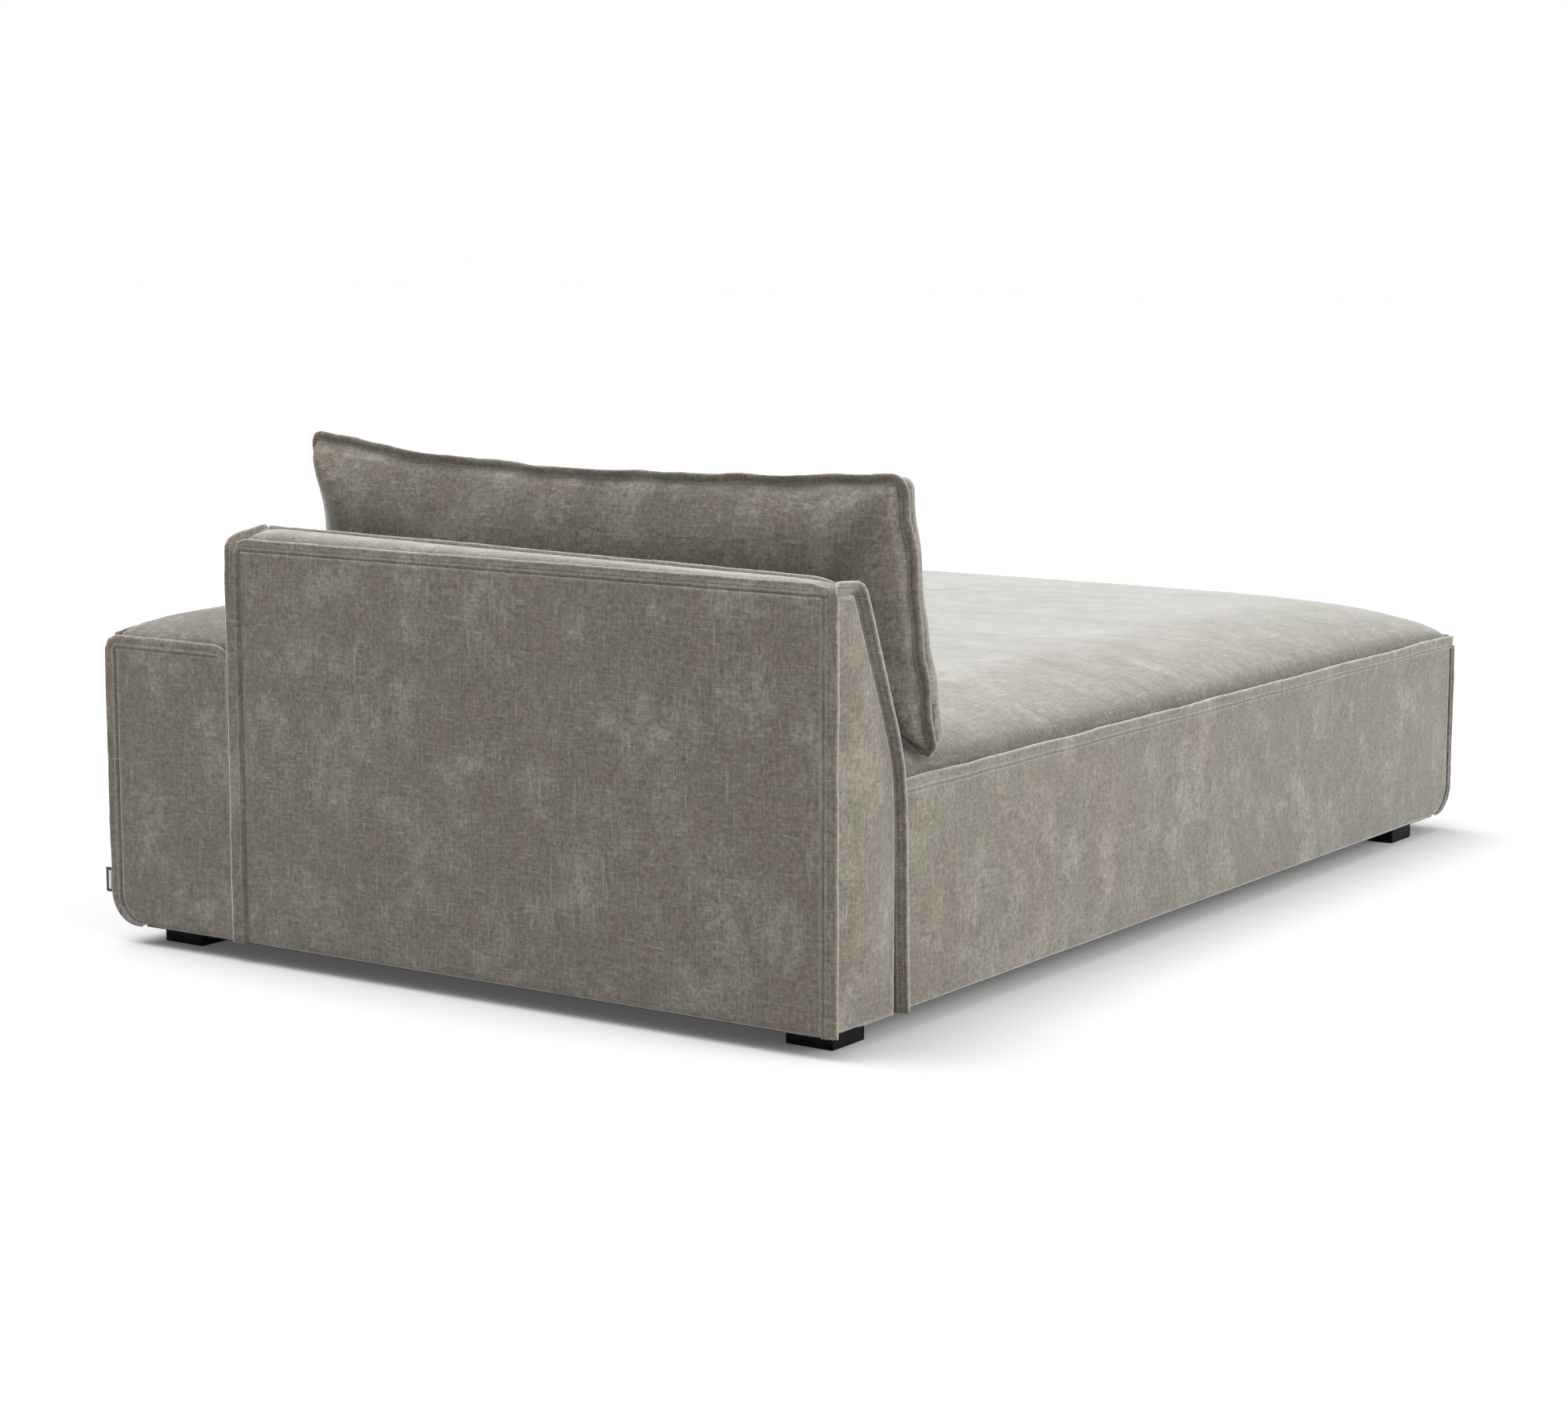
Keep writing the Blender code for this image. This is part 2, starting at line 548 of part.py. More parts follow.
def joining_plates():
    seat_rear = BACK_FRONT - MODULE_GAP - SKIN - RAIL / 2
    back_front = BACK_FRONT + SKIN + RAIL / 2
    seat_side = ARM_INNER - MODULE_GAP - SKIN - RAIL / 2
    arm_side = ARM_INNER + SKIN + BOARD / 2
    back_rails = ("seat_rear_rail", "back_bottom_rail")
    arm_rails = ("seat_notch_side_rail", "arm_inner_board")
    plates = (
        ("joining_plate_back_1", (-0.400, seat_rear), (-0.400, back_front), back_rails),
        ("joining_plate_back_2", (0.130, seat_rear), (0.130, back_front), back_rails),
        ("joining_plate_arm", (seat_side, 0.600), (arm_side, 0.600), arm_rails),
    )
    for name, first, second, rails in plates:
        across = PLATE_WIDTH / 2
        reach = (across, PLATE_OVERHANG) if first[0] == second[0] else (PLATE_OVERHANG, across)
        low = (first[0] - reach[0], first[1] - reach[1], PLATE_FOOT)
        high = (second[0] + reach[0], second[1] + reach[1], PLATE_FOOT + PLATE_THICKNESS)
        plate = box(name, low, high, "steel")
        for number, (centre, rail) in enumerate(zip((first, second), rails), 1):
            profile = (
                (SCREW_HEAD_RADIUS * 0.8, PLATE_FOOT - SCREW_HEAD - GAP),
                (SCREW_HEAD_RADIUS, PLATE_FOOT - SCREW_HEAD / 2),
                (SCREW_HEAD_RADIUS, PLATE_FOOT - GAP),
                (SCREW_RADIUS, PLATE_FOOT - GAP),
                (SCREW_RADIUS, SCREW_TOP),
            )
            turned(f"{name.replace('joining_plate', 'screw')}_{number}", profile, centre, "steel")
            module = rail.split("_")[0]
            for pierced in (plate, bpy.data.objects[rail], bpy.data.objects[f"{module}_dust_cover"]):
                hole = SCREW_RADIUS + HOLE_CLEARANCE
                drill(pierced, centre, hole, PLATE_FOOT - 0.002, SCREW_TOP + 0.002)


def cushion_ring(inset, depth):
    """Outline in the cushion's own frame: x across, y through its thickness, z up."""
    half_width = CUSHION_WIDTH / 2
    half_height = CUSHION_HEIGHT / 2
    corners = rectangle(-half_width, -half_height, half_width, half_height)
    return [(x, depth, z) for x, z, _ in ring(corners, inset, 0.0, CUSHION_CORNER)]


def cushion_body(name, shrink, with_lip, kind, parent):
    """Pillow shape, smaller by shrink on every side."""
    half = [(inset + shrink * 0.7, depth - shrink) for inset, depth in CUSHION_PROFILE if depth > 0.02]
    half.insert(0, (CUSHION_PROFILE[1][0] + shrink, CUSHION_PROFILE[1][1]))
    if with_lip:
        half = [(0.0, CUSHION_PROFILE[0][1]), CUSHION_PROFILE[0], *CUSHION_PROFILE[1:]]
    steps = [(inset, -depth) for inset, depth in reversed(half)] + half
    return loft(name, [cushion_ring(inset, depth) for inset, depth in steps], kind, parent)


def cushion():
    seat = bpy.data.objects.new("cushion_frame", None)
    bpy.context.collection.objects.link(seat)
    seat.matrix_world = Matrix.Translation(CUSHION_CENTRE) @ Matrix.Rotation(-CUSHION_LEAN, 4, "X")
    cover = cushion_body("cushion_cover", 0.0, True, "fabric", seat)
    boolean(cover, cushion_body("cushion_hollow", FABRIC, False, None, seat), "DIFFERENCE")
    slot_low = (-ZIP_HALF_LENGTH, 0.050, ZIP_HEIGHT - ZIP_HALF_WIDTH)
    slot_high = (ZIP_HALF_LENGTH, 0.110, ZIP_HEIGHT + ZIP_HALF_WIDTH)
    boolean(cover, box("zip_slot", slot_low, slot_high, None, seat), "DIFFERENCE")
    cushion_body("cushion_filling", FABRIC + GAP, False, "fibre", seat)
    tape_low = (-ZIP_HALF_LENGTH + GAP, ZIP_DEPTH, ZIP_HEIGHT - ZIP_HALF_WIDTH + GAP)
    tape_high = (ZIP_HALF_LENGTH - GAP, ZIP_DEPTH + ZIP_TAPE, ZIP_HEIGHT + ZIP_HALF_WIDTH - GAP)
    box("zip_tape", tape_low, tape_high, "webbing", seat)
    near = ZIP_DEPTH + ZIP_TAPE + GAP
    far = near + SLIDER_DEPTH
    pull = far - SLIDER_PULL_THICKNESS
    outline = [
        (near, ZIP_HEIGHT - SLIDER_HALF_HEIGHT),
        (near, ZIP_HEIGHT + SLIDER_HALF_HEIGHT),
        (far, ZIP_HEIGHT + SLIDER_HALF_HEIGHT),
        (far, ZIP_HEIGHT - SLIDER_PULL),
        (pull, ZIP_HEIGHT - SLIDER_PULL),
        (pull, ZIP_HEIGHT - SLIDER_HALF_HEIGHT),
    ]
    start = -ZIP_HALF_LENGTH + 0.003
    bar("zip_slider", outline, 0, start, start + SLIDER_LENGTH, "steel", seat)


def main():
    clear_scene()
    seat_frame()
    seat_suspension()
    seat_padding()
    back_frame()
    back_padding()
    back_cover()
    arm_frame()
    arm_padding()
    feet()
    joining_plates()
    cushion()


main()
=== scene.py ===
"""Looks of the daybed: puffy sewn covers, a simulated cushion, materials, light and camera."""

import json
import math

import bmesh
import bpy
from mathutils import Matrix, Vector, noise

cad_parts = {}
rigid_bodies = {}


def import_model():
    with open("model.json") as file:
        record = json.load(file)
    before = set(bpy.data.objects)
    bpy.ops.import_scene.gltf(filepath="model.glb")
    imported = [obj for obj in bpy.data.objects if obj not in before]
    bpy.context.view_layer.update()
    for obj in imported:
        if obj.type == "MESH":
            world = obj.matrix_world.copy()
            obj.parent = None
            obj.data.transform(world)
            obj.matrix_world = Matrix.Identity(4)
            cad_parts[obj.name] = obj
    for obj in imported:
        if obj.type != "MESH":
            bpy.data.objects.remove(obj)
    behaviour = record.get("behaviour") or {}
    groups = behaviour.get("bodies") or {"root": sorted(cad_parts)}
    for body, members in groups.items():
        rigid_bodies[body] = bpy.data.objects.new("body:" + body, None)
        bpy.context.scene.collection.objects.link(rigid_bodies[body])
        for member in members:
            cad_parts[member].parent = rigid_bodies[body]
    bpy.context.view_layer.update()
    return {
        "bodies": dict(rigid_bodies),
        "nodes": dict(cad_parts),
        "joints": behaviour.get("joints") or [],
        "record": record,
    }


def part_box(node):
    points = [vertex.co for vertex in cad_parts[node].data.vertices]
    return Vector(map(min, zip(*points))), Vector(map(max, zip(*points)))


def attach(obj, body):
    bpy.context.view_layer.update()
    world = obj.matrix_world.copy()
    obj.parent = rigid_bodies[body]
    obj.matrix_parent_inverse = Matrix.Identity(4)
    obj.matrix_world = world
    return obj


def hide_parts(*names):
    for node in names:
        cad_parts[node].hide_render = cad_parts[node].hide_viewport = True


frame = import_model()

# Outline of the blocks, as the CAD has it
FREE_SIDE, SEAT_FRONT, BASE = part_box("seat_cover")[0]
ARM_OUTER, BACK_FRONT, SEAT_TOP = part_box("seat_cover")[1]
ARM_INNER, ARM_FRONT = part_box("arm_cover")[0][:2]
ARM_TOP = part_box("arm_cover")[1][2]
COVER = 0.003               # thickness of a cover over its board
BACK_SIDE, REAR = (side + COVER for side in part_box("back_rear_panel")[1][:2])
SEAT_SEAM = 0.3455          # heights of the top seams
ARM_SEAM = 0.474
BACK_SEAM = 0.6405
BACK_SLOPE_START = 0.38     # where the back's front stops being upright
BACK_SLOPE = 0.405          # how far it leans for each metre of height
SEAT_PANEL_FRONT = SEAT_FRONT + 0.0005
SEAT_TOE = 0.056            # radii of the rounded lower edges
ARM_TOE = 0.05

# Sewing
SEAM = 0.0045               # how deep a panel's edge runs into its seam
PUFF = 0.011                # reach of the rounding beside a seam
LIP = 0.0175                # width of a stitched lip
LIP_THICKNESS = 0.0058
LIP_INSET = 0.0015          # how far inside the outline a lip is rooted
PUCKER = 0.0011
GRID_STEP = 0.0125
SHEAR = 0.22                # reach of a side panel's grid that is sheared round its corner
HEM = 0.03                  # width of the hem turned in under a block
HEM_LIFT = 0.0006
TUCK = -0.005               # where the panels meet the hem
STITCH_PITCH = 0.005
STITCH_LENGTH = 0.0036
STITCH_RADIUS = 0.00042

# Distances of grid lines from a seam
NEAR = (0.0013, 0.003, 0.0052, 0.008, 0.0115, 0.0165, 0.0235, 0.033)


# --- small helpers

def clamp(value, low=0.0, high=1.0):
    return min(max(value, low), high)


def ease(distance, reach):
    """0 at 0, 1 from reach on, smoothly."""
    t = clamp(distance / reach)
    return t * t * (3 - 2 * t)


def dome(distance, reach):
    """0 at a seam and 1 from reach on, along a quarter of an ellipse."""
    return math.sqrt(1 - (1 - clamp(distance / reach)) ** 2)


def ripple(a, b, seed):
    """Smooth noise between about -1 and 1."""
    return noise.noise(Vector((a, b, seed * 7.31)))


def lerp(a, b, t):
    return a + (b - a) * t


def fading(distance, reach):
    return math.exp(-distance / reach)


def tucked(offset, share):
    """A panel's offset, drawn in to its hem where share is below 1."""
    return min(offset, lerp(TUCK, offset, share))


def spread(start, end, step, scale=1.0):
    """Grid lines from start to end, closer together beside both ends."""
    near = [distance * scale for distance in NEAR]
    length = end - start
    inner = length - 2 * near[-1]
    count = max(2, math.ceil(inner / step))
    offsets = [0.0, *near]
    offsets += [near[-1] + inner * index / count for index in range(1, count)]
    offsets += [length - distance for distance in reversed(near)] + [length]
    return [start + offset for offset in offsets]


def soft_minimum(distances):
    return sum(max(distance, 0.0005) ** -4 for distance in distances) ** -0.25


# --- cloth relief

def gathers(seams, *kinds):
    """Small folds that run off seams, given as (distance, place along the seam).

    Each kind holds its height, reach, pitch, length and seed.
    """
    offset = 0.0
    for distance, along in seams:
        held = ease(distance, 0.01)
        for height, reach, pitch, length, seed in kinds:
            offset += height * held * fading(distance, reach) * ripple(along / pitch, distance / length, seed)
    return offset


def panel_relief(seams, spot, seed, swell, wrinkle=0.001):
    """Offset of a sewn panel along its normal, at a spot on it."""
    nearest = min(distance for distance, _ in seams)
    offset = -SEAM * (1 - dome(nearest, PUFF))
    offset += gathers(seams, (PUCKER, 0.022, 0.019, 0.06, seed), (0.6 * PUCKER, 0.06, 0.047, 0.15, seed + 1))
    x, y = spot
    wave = ripple(x / 0.16, y / 0.21, seed + 2) + 0.35 * ripple(x / 0.055, y / 0.075, seed + 3)
    return offset + ease(nearest, 0.06) * (swell + wrinkle * wave)


def panel_edge(distances):
    """Painted highlight on the rounded edge beside a seam (above 0) and painted shade down in the seam (below
    0).
    """
    nearest = min(distances)
    return 0.5 * clamp(1 - abs(nearest - 0.0042) / 0.003) - clamp(1 - nearest / 0.002)


class Cloth:
    """Quads of one piece, with each point's fold_edge value, which on the upholstery is painted highlight
    above 0 and painted shade below 0.
    """

    def __init__(self):
        self.work = bmesh.new()
        self.edge = self.work.verts.layers.float.new("fold_edge")

    def point(self, place, edge=0.0):
        vertex = self.work.verts.new(place)
        vertex[self.edge] = edge
        return vertex

    def face(self, corners):
        distinct = list(dict.fromkeys(corners))
        if len(distinct) > 2:
            self.work.faces.new(distinct)

    def grid(self, rows, closed=False, capped=False):
        """Faces between rows of points with equal counts, and over the first and last row."""
        for lower, upper in zip(rows, rows[1:]):
            for index in range(len(lower) - (0 if closed else 1)):
                after = (index + 1) % len(lower)
                self.face((lower[index], lower[after], upper[after], upper[index]))
        for row in (rows[0], rows[-1]) if capped else ():
            self.face(row)

    def surface(self, us, vs, place):
        """Grid of place(u, v), which gives a position and its fold edge."""
        self.grid([[self.point(*place(u, v)) for u in us] for v in vs])

    def finish(self, name, material, weld=0.0002):
        bmesh.ops.remove_doubles(self.work, verts=self.work.verts, dist=weld)
        bmesh.ops.recalc_face_normals(self.work, faces=self.work.faces)
        mesh = as_mesh(self.work, name)
        mesh.shade_smooth()
        mesh.materials.append(material)
        return add_object(name, mesh)


def as_mesh(work, name):
    mesh = bpy.data.meshes.new(name)
    work.to_mesh(mesh)
    work.free()
    return mesh


def evaluated(piece):
    return piece.evaluated_get(bpy.context.evaluated_depsgraph_get())


def add_object(name, data):
    made = bpy.data.objects.new(name, data)
    bpy.context.collection.objects.link(made)
    return made


# --- lips and stitches

# Half of a lip's section: share of the width, share of half the thickness
LIP_SECTION = (
    (-0.26, 0.3), (-0.1, 0.62), (0.08, 0.86), (0.2, 0.72), (0.27, 0.56), (0.34, 0.74), (0.48, 0.94),
    (0.64, 1.0), (0.8, 0.9), (0.92, 0.62), (0.985, 0.26),
)
DOUBLE_SECTION = (
    (-0.26, 0.3), (-0.1, 0.66), (0.04, 0.8), (0.12, 0.62), (0.2, 0.82), (0.34, 0.96), (0.46, 0.86),
    (0.56, 0.68), (0.66, 0.86), (0.78, 0.94), (0.9, 0.72), (0.98, 0.28),
)
# fold_edge at the root of a lip, by share of the width: painted shade down in the seam, then a painted
# highlight just above it
LIP_EDGE = {-0.26: -1.0, -0.1: -0.7, 0.04: 0.3, 0.08: 0.45}
UP = Vector((0, 0, 1))


def resample(path, step):
    """Points of (position, out, side, distance gone) at even spacing along a path of corners."""
    lengths = [0.0]
    for here, there in zip(path, path[1:]):
        lengths.append(lengths[-1] + (there[0] - here[0]).length)
    count = max(2, round(lengths[-1] / step))
    result = []
    index = 0
    for number in range(count + 1):
        target = lengths[-1] * number / count
        while index < len(path) - 2 and lengths[index + 1] < target:
            index += 1
        t = (target - lengths[index]) / max(lengths[index + 1] - lengths[index], 1e-9)
        place, out, side = (here.lerp(there, t) for here, there in zip(path[index], path[index + 1]))
        result.append((place, out.normalized(), side.normalized(), target))
    return result


def lip(cloth, path, seed, width=LIP, thickness=LIP_THICKNESS, wave=1.0, closed=False,
        section=LIP_SECTION, first=None, last=None, step=0.0055, painted_sheen_and_wear=0.85):
    """Puffy folded strip that stands out of a seam. Returns its centre line for the stitches.

    first and last are (length, share of the width) where the strip narrows towards its ends.
    """
    samples = resample(path, step)
    if closed:
        samples.pop()
    outline = [*section, *((w, -h) for w, h in reversed(section))]
    rows, line = [], []
    total = samples[-1][3]
    for place, out, side, along in samples:
        reach = 1 + 0.05 * ripple(along / 0.07, 0.5, seed) + 0.03 * ripple(along / 0.018, 0.1, seed + 4)
        reach *= width
        sway = 0.0016 * ripple(along / 0.13, 0.3, seed + 1) + 0.0007 * ripple(along / 0.035, 0.7, seed + 2)
        sway *= wave
        full = thickness / 2 * (1 + 0.14 * ripple(along / 0.014, 0.9, seed + 3))
        if not closed:
            full *= 0.35 + 0.65 * dome(min(along, total - along), 0.006)
        for gone, narrowing in ((along, first), (total - along, last)):
            if narrowing:
                share = lerp(narrowing[1], 1.0, ease(gone, narrowing[0]))
                reach *= share
                full *= 0.4 + 0.6 * share
        points = []
        for w, h in outline:
            lean = sway * max(w, 0.0) ** 1.5
            where = place + out * ((reach if w > 0 else width * 1.3) * w) + side * (full * h + lean)
            # Painted highlight (partly wear) along the lip's outer fold, and painted shade at its root,
            # through fold_edge.
            points.append(cloth.point(where, painted_sheen_and_wear * clamp((w - 0.86) * 7) + LIP_EDGE.get(w, 0.0)))
        rows.append(points)
        line.append((place, out, side, reach, sway, full))
    if closed:
        rows.append(rows[0])
    cloth.grid(rows, closed=True, capped=not closed)
    return line


def stitch_line(cloth, line, share=0.27, height=0.6, both=False, phase=0.0):
    """Row of thread stitches along a lip's centre line."""
    travelled = phase
    for here, there in zip(line, line[1:]):
        travelled += (there[0] - here[0]).length
        if travelled < STITCH_PITCH:
            continue
        travelled -= STITCH_PITCH
        place, out, side, reach, sway, full = here
        run = (there[0] - here[0]).normalized()
        for sign in ((1, -1) if both else (1,)):
            lean = sway * share ** 1.5
            centre = place + out * (reach * share) + side * (sign * full * height + lean)
            stitch(cloth, centre, run, out, side * sign)


def stitch(cloth, centre, run, out, side):
    """Short round bar of thread, its ends thinner and sunk."""
    rings = []
    for part, size, sunk in ((-0.5, 0.35, 1), (-0.3, 1.0, 0), (0.3, 1.0, 0), (0.5, 0.35, 1)):
        middle = centre + run * (STITCH_LENGTH * part) - side * (STITCH_RADIUS * sunk)
        turns = [math.tau * turn / 5 for turn in range(5)]
        rings.append([
            cloth.point(middle + (out * math.cos(turn) + side * math.sin(turn)) * (STITCH_RADIUS * size))
            for turn in turns
        ])
    cloth.grid(rings, closed=True, capped=True)


def straight(ends, out, side):
    """Path of a lip between two ends."""
    return [(Vector(end), Vector(out), Vector(side)) for end in ends]


def sewn(name, cloth, lines, fabric, thread, lift=None):
    """Stitch each line of (lip, double or not), lift cover and stitches alike, and finish both."""
    stitches = Cloth()
    for line, double in lines:
        if double:
            stitch_line(stitches, line, 0.12, 0.72)
            stitch_line(stitches, line, 0.56, 0.86, phase=0.002)
        else:
            stitch_line(stitches, line)
    for made in (cloth, stitches) if lift else ():
        for vertex in made.work.verts:
            vertex.co.z += lift(vertex.co)
    return cloth.finish(name + "_upholstery", fabric), stitches.finish(name + "_stitching", thread, 0)


# --- boxed blocks: seat and arm

class Block:
    """Upholstered block. a runs from its rounded lower edge, b across, and frame maps to metres.

    Its top rises steeply by rise, less so near a = 0 by the share fall, and slowly by swell over
    reach. shade is how much painted shade darkens it beside its seam. notch is the (a, b) past which a corner
    is left out.
    """

    def __init__(self, frame, length, b_start, b_end, toe, seam, rise, seed, swell,
                 notch=None, fall=0.0, reach=0.2, shade=0.0):
        self.frame, self.length, self.toe, self.seam, self.rise = frame, length, toe, seam, rise
        self.b_start, self.b_end, self.notch, self.swell, self.seed = b_start, b_end, notch, swell, seed
        self.fall, self.reach, self.shade = fall, reach, shade
        self.cloth = Cloth()
        corner = notch or (None, None)
        self.a_lines = self.lines(0.0, corner[0], length)
        self.b_lines = self.lines(b_start, corner[1], b_end)

    @staticmethod
    def lines(start, cut, end):
        """Grid lines from seam to seam, with one where the notch begins."""
        cuts = [start + SEAM, *([] if cut is None else [cut - SEAM]), end - SEAM]
        result = [cuts[0]]
        for here, there in zip(cuts, cuts[1:]):
            result += spread(here, there, GRID_STEP)[1:]
        return result

    def profile(self):
        """(set-back, z, normal a, normal z) of the wall's rows, from the top seam to the underside."""
        rows = [(0.0, self.seam - drop, -1.0, 0.0) for drop in (0.0, *NEAR)]
        top, foot = self.seam - NEAR[-1], BASE + self.toe
        count = math.ceil((top - foot) / GRID_STEP)
        rows += [(0.0, lerp(top, foot, index / count), -1.0, 0.0) for index in range(1, count)]
        for step in range(11):
            angle = math.pi / 2 * step / 10
            rows.append((
                self.toe * (1 - math.cos(angle)), foot - self.toe * math.sin(angle),
                -math.cos(angle), -math.sin(angle),
            ))
        return rows

    def cut_away(self, a, b):
        return bool(self.notch) and a > self.notch[0] - SEAM + 1e-6 and b > self.notch[1] - SEAM + 1e-6

    def edge_distance(self, a, b):
        """Distance from the nearest side of the outline, rounded where two sides meet."""
        sides = [a, self.length - a, b - self.b_start, self.b_end - b]
        if self.notch:
            along, across = self.notch[0] - a, self.notch[1] - b
            if across <= SEAM:
                sides.append(along)
            elif along <= SEAM:
                sides.append(across)
            else:
                sides.append(math.hypot(along, across))
        return soft_minimum(sides)

    def crown(self, a, b):
        """Place on the padded top, steep at its edge, and its fold_edge value: painted shade beside the seam.
        """
        distance = self.edge_distance(a, b)
        inside = max(distance - SEAM, 0.0)
        height = 0.42 * (1 - fading(inside, 0.0042)) + 0.58 * (1 - fading(inside, 0.046))
        height *= self.rise * (1 - self.fall * fading(max(a - SEAM, 0.0), 0.085))
        height += self.swell * ease(distance - 0.02, self.reach)
        near_edge = ease(distance - SEAM, 0.012) * fading(distance, 0.045)
        height += 0.0016 * near_edge * ripple((a + b) / 0.03, (a - b) / 0.03, self.seed)
        dents = 0.0022 * ripple(a / 0.23, b / 0.4, self.seed + 5)
        dents += 0.0009 * ripple(a / 0.075, b / 0.16, self.seed + 6)
        dents += 0.0007 * ripple(a / 0.033, b / 0.033, self.seed + 7)
        height += dents * ease(distance - SEAM, 0.05)
        # Painted shade on the crown beside its seam, where the padding rolls over into the wall.
        shade = -self.shade * fading(max(distance - 0.01, 0.0), 0.042)
        return self.frame(a, b, self.seam + height), shade

    def build(self):
        tops = {}
        for i, a in enumerate(self.a_lines):
            for j, b in enumerate(self.b_lines):
                if not self.cut_away(a, b):
                    tops[i, j] = self.cloth.point(*self.crown(a, b))
        for i, j in tops:
            corners = [(i, j), (i + 1, j), (i + 1, j + 1), (i, j + 1)]
            if all(corner in tops for corner in corners):
                middles = (sum(lines[k:k + 2]) / 2 for lines, k in ((self.a_lines, i), (self.b_lines, j)))
                if not self.cut_away(*middles):
                    self.cloth.face([tops[corner] for corner in corners])
        self.walls()
        return self.cloth

    def walls(self):
        a_all, b_all = self.a_lines, self.b_lines
        if self.notch:
            a_cut, b_cut = self.notch[0] - SEAM - 1e-6, self.notch[1] - SEAM - 1e-6
            a_short, a_rest = [a for a in a_all if a < a_cut + 2e-6], [a for a in a_all if a > a_cut]
            b_short, b_rest = [b for b in b_all if b < b_cut + 2e-6], [b for b in b_all if b > b_cut]
            self.wall("a", self.notch[0], 1, b_rest, 11)
            self.wall("b", self.notch[1], 1, a_rest, 12)
        else:
            a_short, b_short = a_all, b_all
        self.wall("a", 0.0, -1, b_all, 13)
        self.wall("b", self.b_start, -1, a_all, 14)
        self.wall("b", self.b_end, 1, a_short, 15)
        self.wall("a", self.length, 1, b_short, 16)

    def wall(self, axis, plane, sign, lines, seed):
        """One side panel, from its top seam round the lower edge to a hem turned in below."""
        side = axis, plane, sign, self.seed + seed
        rows = [
            [self.cloth.point(*self.wall_point(side, along, lines, row)) for along in lines]
            for row in self.profile()
        ]
        hem = []
        for along in lines:
            a, b = plane - sign * HEM, along
            if axis == "b":
                a, b = along + (self.toe - SEAM) * (1 - ease(along - SEAM, SHEAR)), a
            elif sign < 0:
                a += self.toe
            hem.append(self.cloth.point(self.frame(a, b, BASE + HEM_LIFT)))
        self.cloth.grid(rows + [hem])

    def wall_point(self, side, along, lines, row):
        """Place on a side panel, and its fold_edge value: painted highlight beside its seams and along its
        hem, painted shade down in the seams. Of the a walls, only the first has a rounded foot.
        """
        axis, plane, sign, seed = side
        set_back, z, normal_a, normal_z = row
        near, far = along - lines[0], lines[-1] - along
        if axis == "a":
            arc, swell = (set_back, 0.0012) if sign < 0 else (0.0, 0.0015)
            below = self.seam - z + arc
            offset = panel_relief([(near, z), (far, z), (below, along)], (along, z - arc), seed, swell)
            edge = panel_edge((near, far, below))
            if sign < 0:
                return self.frame(set_back + normal_a * offset, along, z + normal_z * offset), edge
            return self.frame(plane + tucked(offset, ease(z - BASE, 0.007)), along, z), edge
        # A b wall's grid is sheared near its rounded corner, so that it follows the corner's curve
        a = along + (set_back - SEAM * normal_a - SEAM) * (1 - ease(along - SEAM, SHEAR))
        z = lerp(z, z - SEAM * normal_z, 1 - ease(along - SEAM, 0.06))
        ahead, down = self.toe - a, BASE + self.toe - z
        front = self.toe - math.hypot(ahead, down) if ahead > 0 and down > 0 else a
        seams = [(front - SEAM, z - a), (far, z), (self.seam - z, along)]
        seams = [(max(distance, 0.0), place) for distance, place in seams]
        belly = math.sin(math.pi * clamp((z - BASE) / (self.seam - BASE)))
        swell = 0.0045 * ease(a, 0.2) * ease(self.length - a, 0.2) * belly
        low = ease(z - BASE + 0.001, 0.007)
        offset = tucked(panel_relief(seams, (a, z), seed, swell), low)
        # Painted highlight along the hem's fold, beside the seams' painted highlight and shade.
        edge = max(panel_edge(distance for distance, _ in seams), 0.8 * (1 - low))
        return self.frame(a, plane + sign * offset, z), edge


def plane_path(corners, radii, place, side, bend):
    """Path round a panel's outline, of corners (p, q) in its plane with the outside on the left.

    bend turns each of its directions.
    """
    points = [Vector(corner) for corner in corners]
    origin = place(0, 0)
    axes = place(1, 0) - origin, place(0, 1) - origin
    path = []

    def add(point, out):
        direction = (axes[0] * out.x + axes[1] * out.y).normalized()
        path.append((place(point.x, point.y), bend(direction), side))

    def outward(travel):
        return Vector((travel.y, -travel.x))

    add(points[0], outward((points[1] - points[0]).normalized()))
    for before, here, after, radius in zip(points, points[1:], points[2:], radii):
        arriving, leaving = (here - before).normalized(), (after - here).normalized()
        turn = arriving.angle(leaving)
        start = here - arriving * (radius * math.tan(turn / 2))
        sign = 1 if arriving.x * leaving.y - arriving.y * leaving.x > 0 else -1
        centre = start - outward(arriving) * radius * sign
        steps = max(2, round(turn / 0.2))
        for step in range(steps + 1):
            t = step / steps
            out = outward(arriving).slerp(outward(leaving), t) if turn > 1e-3 else outward(leaving)
            add(centre + out * radius * sign, out)
    add(points[-1], outward((points[-1] - points[-2]).normalized()))
    return path


# --- seat, arm and back

def corner_bend(side, across=0.62):
    """Turns a lip at a corner seam away from its panel's plane, more so where it stands upright."""
    def bend(direction):
        level = 1 - max(direction.z, 0.0) ** 2
        return (direction + side * (across * level)).normalized()
    return bend


